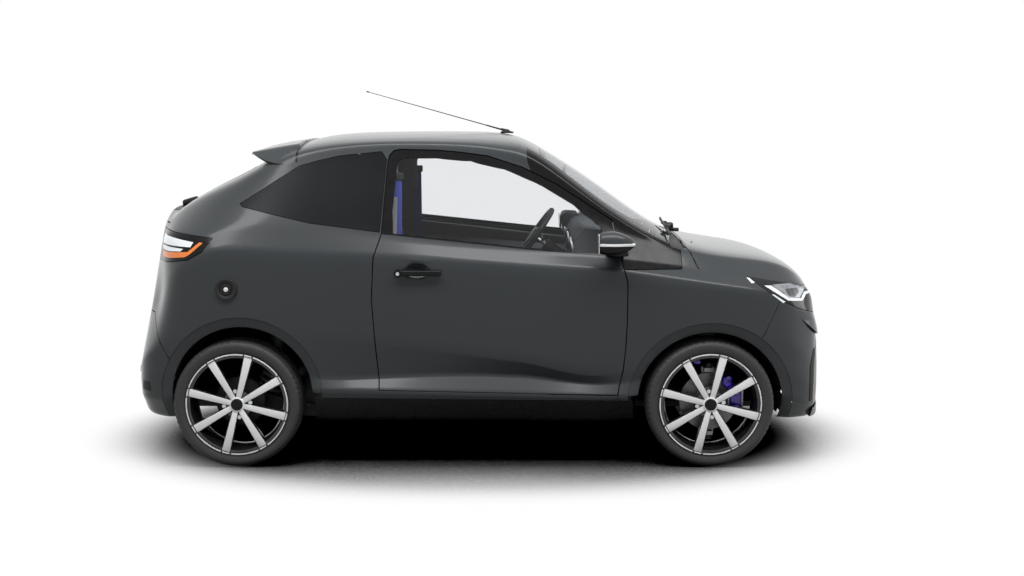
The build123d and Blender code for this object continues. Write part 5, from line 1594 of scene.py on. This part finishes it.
def coil_spring(name, low, high, radius, wire, turns):
    """Round bar wound on a helix between two points (mm)."""
    a, b = Vector(low) / 1000, Vector(high) / 1000
    deselect()
    bpy.ops.mesh.primitive_circle_add(vertices=BAR_SIDES, radius=wire / 1000, location=(radius / 1000, 0, 0),
                                      rotation=(radians(90), 0, 0))
    bar = bpy.context.object
    bpy.ops.object.transform_apply(location=True, rotation=True, scale=True)
    bpy.ops.object.mode_set(mode="EDIT")
    bpy.ops.mesh.select_all(action="SELECT")
    bpy.ops.mesh.spin(steps=turns * STEPS_PER_TURN, angle=2 * pi * turns, center=(0, 0, 0), axis=(0, 0, 1))
    bpy.ops.object.mode_set(mode="OBJECT")
    rows = len(bar.data.vertices) // BAR_SIDES
    for index, vertex in enumerate(bar.data.vertices):
        vertex.co.z += (b - a).length * (index // BAR_SIDES) / (rows - 1)
    bpy.ops.object.mode_set(mode="EDIT")
    bpy.ops.mesh.select_all(action="DESELECT")
    bpy.ops.mesh.select_non_manifold()
    bpy.ops.mesh.edge_face_add()
    bpy.ops.mesh.select_all(action="SELECT")
    bpy.ops.mesh.normals_make_consistent(inside=False)
    bpy.ops.object.mode_set(mode="OBJECT")
    bar.data.transform((b - a).to_track_quat("Z", "Y").to_matrix().to_4x4())
    bar.data.transform(Matrix.Translation(a))
    bpy.ops.object.shade_smooth()
    bar.name = name
    return bar


spring_grey = finish("spring_enamel", (0.42, 0.43, 0.45), (0.58, 0.59, 0.6), roughness=(0.3, 0.4),
                     scale=60, coat=0.3)
rear_coil = coil_spring("coil", (-945, -512, 300), (-893, -512, 470), 47, 6.5, 6)
dress_pair(rear_coil, "rear_spring", ROOT_PAIR, spring_grey, "coated_steel")
front_coil = coil_spring("coil", (999, -475, 420), (999, -475, 640), 50, 6, 6)
dress_pair(front_coil, "front_spring", ROOT_PAIR, spring_grey, "coated_steel")

# ---- Front bumper details --------------------------------------------------------------------------
# A black lower grille behind crossed bars, a gloss black slot above it, satin grey
# side inserts, a facet under each lamp and a grey splitter lip under the nose.
trim_grey = finish("satin_grey_trim", (0.33, 0.32, 0.31), (0.4, 0.39, 0.38), roughness=(0.4, 0.5),
                   scale=120, gloss=0.3)
lip_grey = finish("splitter_grey", (0.27, 0.27, 0.265), (0.33, 0.33, 0.325), roughness=(0.35, 0.45),
                  scale=120, gloss=0.3)
mesh_black = finish("grille_mesh_black", (0.006, 0.006, 0.006), (0.014, 0.014, 0.014),
                    roughness=(0.4, 0.6), scale=200, gloss=0.2)


def end_block(points, low, high):
    """A cutter from an outline seen from the front or back: y and z (mm), along the car."""
    return outline_block(points, low, high, across="X")


INSERT = [(1476, 506), (1494, 545), (1600, 545), (1600, 262), (1462, 262), (1464, 415)]
VENT = [(1441, 430), (1462, 506), (1474, 500), (1462, 415), (1460, 275), (1441, 275)]
GRILLE = [(-300, 262), (300, 262), (308, 300), (300, 470), (-300, 470), (-308, 300)]
UPPER_SLOT = [(-296, 660), (296, 660), (296, 742), (-296, 742)]
FACET_TOP, FACET_FALL, FACET_TILT = 0.648, 0.09, 0.024
LIP_REACH, LIP_CORNER_REACH, FOREMOST = 0.011, 0.012, 1.511
insert_form = outline_block(INSERT, -1000, -318)
overlay("bumper_insert", insert_form, 0.0015, 0.006, trim_grey, "black_plastic")
facet_form = outline_block([(1398, 640), (1600, 648), (1600, 560), (1490, 560)], -1000, -205)
facet = patch("facet", shell_right, inside=[facet_form])
facet_out = Vector((0.2, -0.95, 0)).normalized()
for vertex in facet.data.vertices:
    drop = max(0, FACET_TOP - vertex.co.z) / FACET_FALL
    vertex.co += facet_out * FACET_TILT * min(1, drop)
thicken(facet, 0.02, rounding=0.002)
dress_pair(facet, "bumper_facet", ROOT_PAIR, paint, "paint")
overlay("bumper_vent", outline_block(VENT, -1000, -318), 0.002, 0.005, mesh_black, "black_plastic")
crossing_trim("lower_grille_panel", end_block(GRILLE, *NOSE_END), 0.001, 0.004, 0.001, mesh_black,
              "black_plastic")
bars = []
for row in range(7):
    low = 276 + row * 29
    bar_form = end_block([(-298, low), (298, low), (298, low + 9), (-298, low + 9)], *NOSE_END)
    bar = patch("bar", shell, inside=[bar_form])
    thicken(bar, 0.006, rounding=0.001, outwards=0.005)
    bars.append(bar)
for column in range(-7, 8):
    left, right = column * 39 - 3, column * 39 + 3
    bar_form = end_block([(left, 266), (right, 266), (right, 466), (left, 466)], *NOSE_END)
    bar = patch("bar", shell, inside=[bar_form])
    thicken(bar, 0.005, rounding=0.0008, outwards=0.004)
    bars.append(bar)
dress(joined("lower_grille_bars", *bars), "root", matt_black, "black_plastic")
crossing_trim("upper_grille_slot", end_block(UPPER_SLOT, *NOSE_END), 0.001, 0.004, 0.001, gloss_black,
              "gloss_black")
lip = patch("splitter_lip", shell, inside=[lip_form])
for vertex in lip.data.vertices:
    away = Vector((vertex.co.x - 1.2, vertex.co.y * 0.9, 0)).normalized()
    height = (vertex.co.z - 0.19) / 0.07
    corner_reach = LIP_CORNER_REACH if abs(vertex.co.y) > 0.3 else 0
    reach = (LIP_REACH + corner_reach) * max(0, min(1, 1.2 - height))
    vertex.co += away * reach if vertex.co.x + reach < FOREMOST else Vector((0, away.y * reach, 0))
thicken(lip, 0.014, rounding=0.004)
dress(lip, "root", lip_grey, "black_plastic")

# ---- Rear number plate -----------------------------------------------------------------------------------
# A blank pressed plate on a black backing, with a black plate lamp above it.
plate_white = finish("reflective_plate", (0.62, 0.63, 0.62), (0.7, 0.7, 0.69), roughness=(0.25, 0.35),
                     scale=700, depth=0.0001)
PLATE_BACKING = [(-262, 742), (262, 742), (262, 856), (-262, 856)]
PLATE = [(-250, 748), (250, 748), (250, 850), (-250, 850)]
PLATE_LAMP = [(-60, 872), (60, 872), (56, 890), (-56, 890)]
crossing_trim("rear_plate_backing", end_block(PLATE_BACKING, *TAIL_END), 0.003, 0.006, 0.002, matt_black,
              "black_plastic")
crossing_trim("rear_number_plate", end_block(PLATE, *TAIL_END), 0.005, 0.002, 0.0006, plate_white, "paint")
crossing_trim("plate_lamp", end_block(PLATE_LAMP, *TAIL_END), 0.008, 0.006, 0.002, gloss_black,
              "gloss_black")

# ---- Tailgate handle and rear bumper details ---------------------------------------------------------------
# A black grab handle bonded to the foot of the glass tailgate and pinned hinges at its
# head. In the rear bumper a black valance, two red reflectors and two small vents.
base_pad = bevelled_box("pad", (-1392, -30, 1088), (-1338, 30, 1126), 7)
grip = bevelled_box("grip", (-1432, -27, 1106), (-1366, 27, 1132), 8)
for vertex in grip.data.vertices:
    vertex.co.z += 0.3 * (vertex.co.x + 1.4)
hatch_handle = joined("tailgate_handle", base_pad, grip)
dress(hatch_handle, "tailgate", matt_black, "black_plastic")
HATCH_LUG = [(-995, 1306), (-991, 1298), (-995, 1290), (-1036, 1268), (-1036, 1282), (-1003, 1305)]
hatch_lug = outline_block(HATCH_LUG, -221, -201)
hatch_lug.hide_render = False
hatch_bore = placed_cylinder("bore", (-999, -225, 1298), (-999, -195, 1298), 3.3)
mark_as_cutter(hatch_bore)
boolean(hatch_lug, hatch_bore, "DIFFERENCE")
dress_pair(hatch_lug, "tailgate_hinge_lug", ("tailgate", "tailgate"), matt_black, "coated_steel")
bracket = joined("bracket", bevelled_box("plate", (-998, -200, 1293), (-970, -191, 1312), 1),
                 placed_cylinder("pin", (-999, -221, 1298), (-999, -191, 1298), 3, vertices=24),
                 placed_cylinder("disc", (-999, -200, 1298), (-999, -191, 1298), 5, vertices=24))
dress_pair(bracket, "tailgate_hinge_bracket", ROOT_PAIR, matt_black, "coated_steel")
VALANCE = [(-430, 250), (430, 250), (380, 348), (-380, 348)]
REFLECTOR = [(-1512, 392), (-1512, 420), (-1400, 424), (-1400, 396)]
SIDE_VENT = [(-1472, 330), (-1424, 330), (-1430, 372), (-1466, 372)]
crossing_trim("rear_valance", end_block(VALANCE, *TAIL_END), 0.002, 0.005, 0.0015, matt_black,
              "black_plastic")
reflector_red = finish("reflector_red", (0.35, 0.006, 0.006), (0.5, 0.012, 0.01), roughness=(0.08, 0.16),
                       scale=400, coat=0.6)
overlay("rear_reflector", outline_block(REFLECTOR, -560, -446), 0.002, 0.004, reflector_red, "lamp_red")
overlay("wheel_arch_vent", outline_block(SIDE_VENT, *RIGHT_SIDE), 0.001, 0.003, mesh_black, "black_plastic")

# ---- Closing ----------------------------------------------------------------------
# The forms that the panels were cut from go.
for form in [o for o in bpy.context.scene.objects if o.type == "MESH" and o.hide_render
             and any(m in (KEPT_FACE, CUT_FACE) for m in o.data.materials)]:
    bpy.data.objects.remove(form)
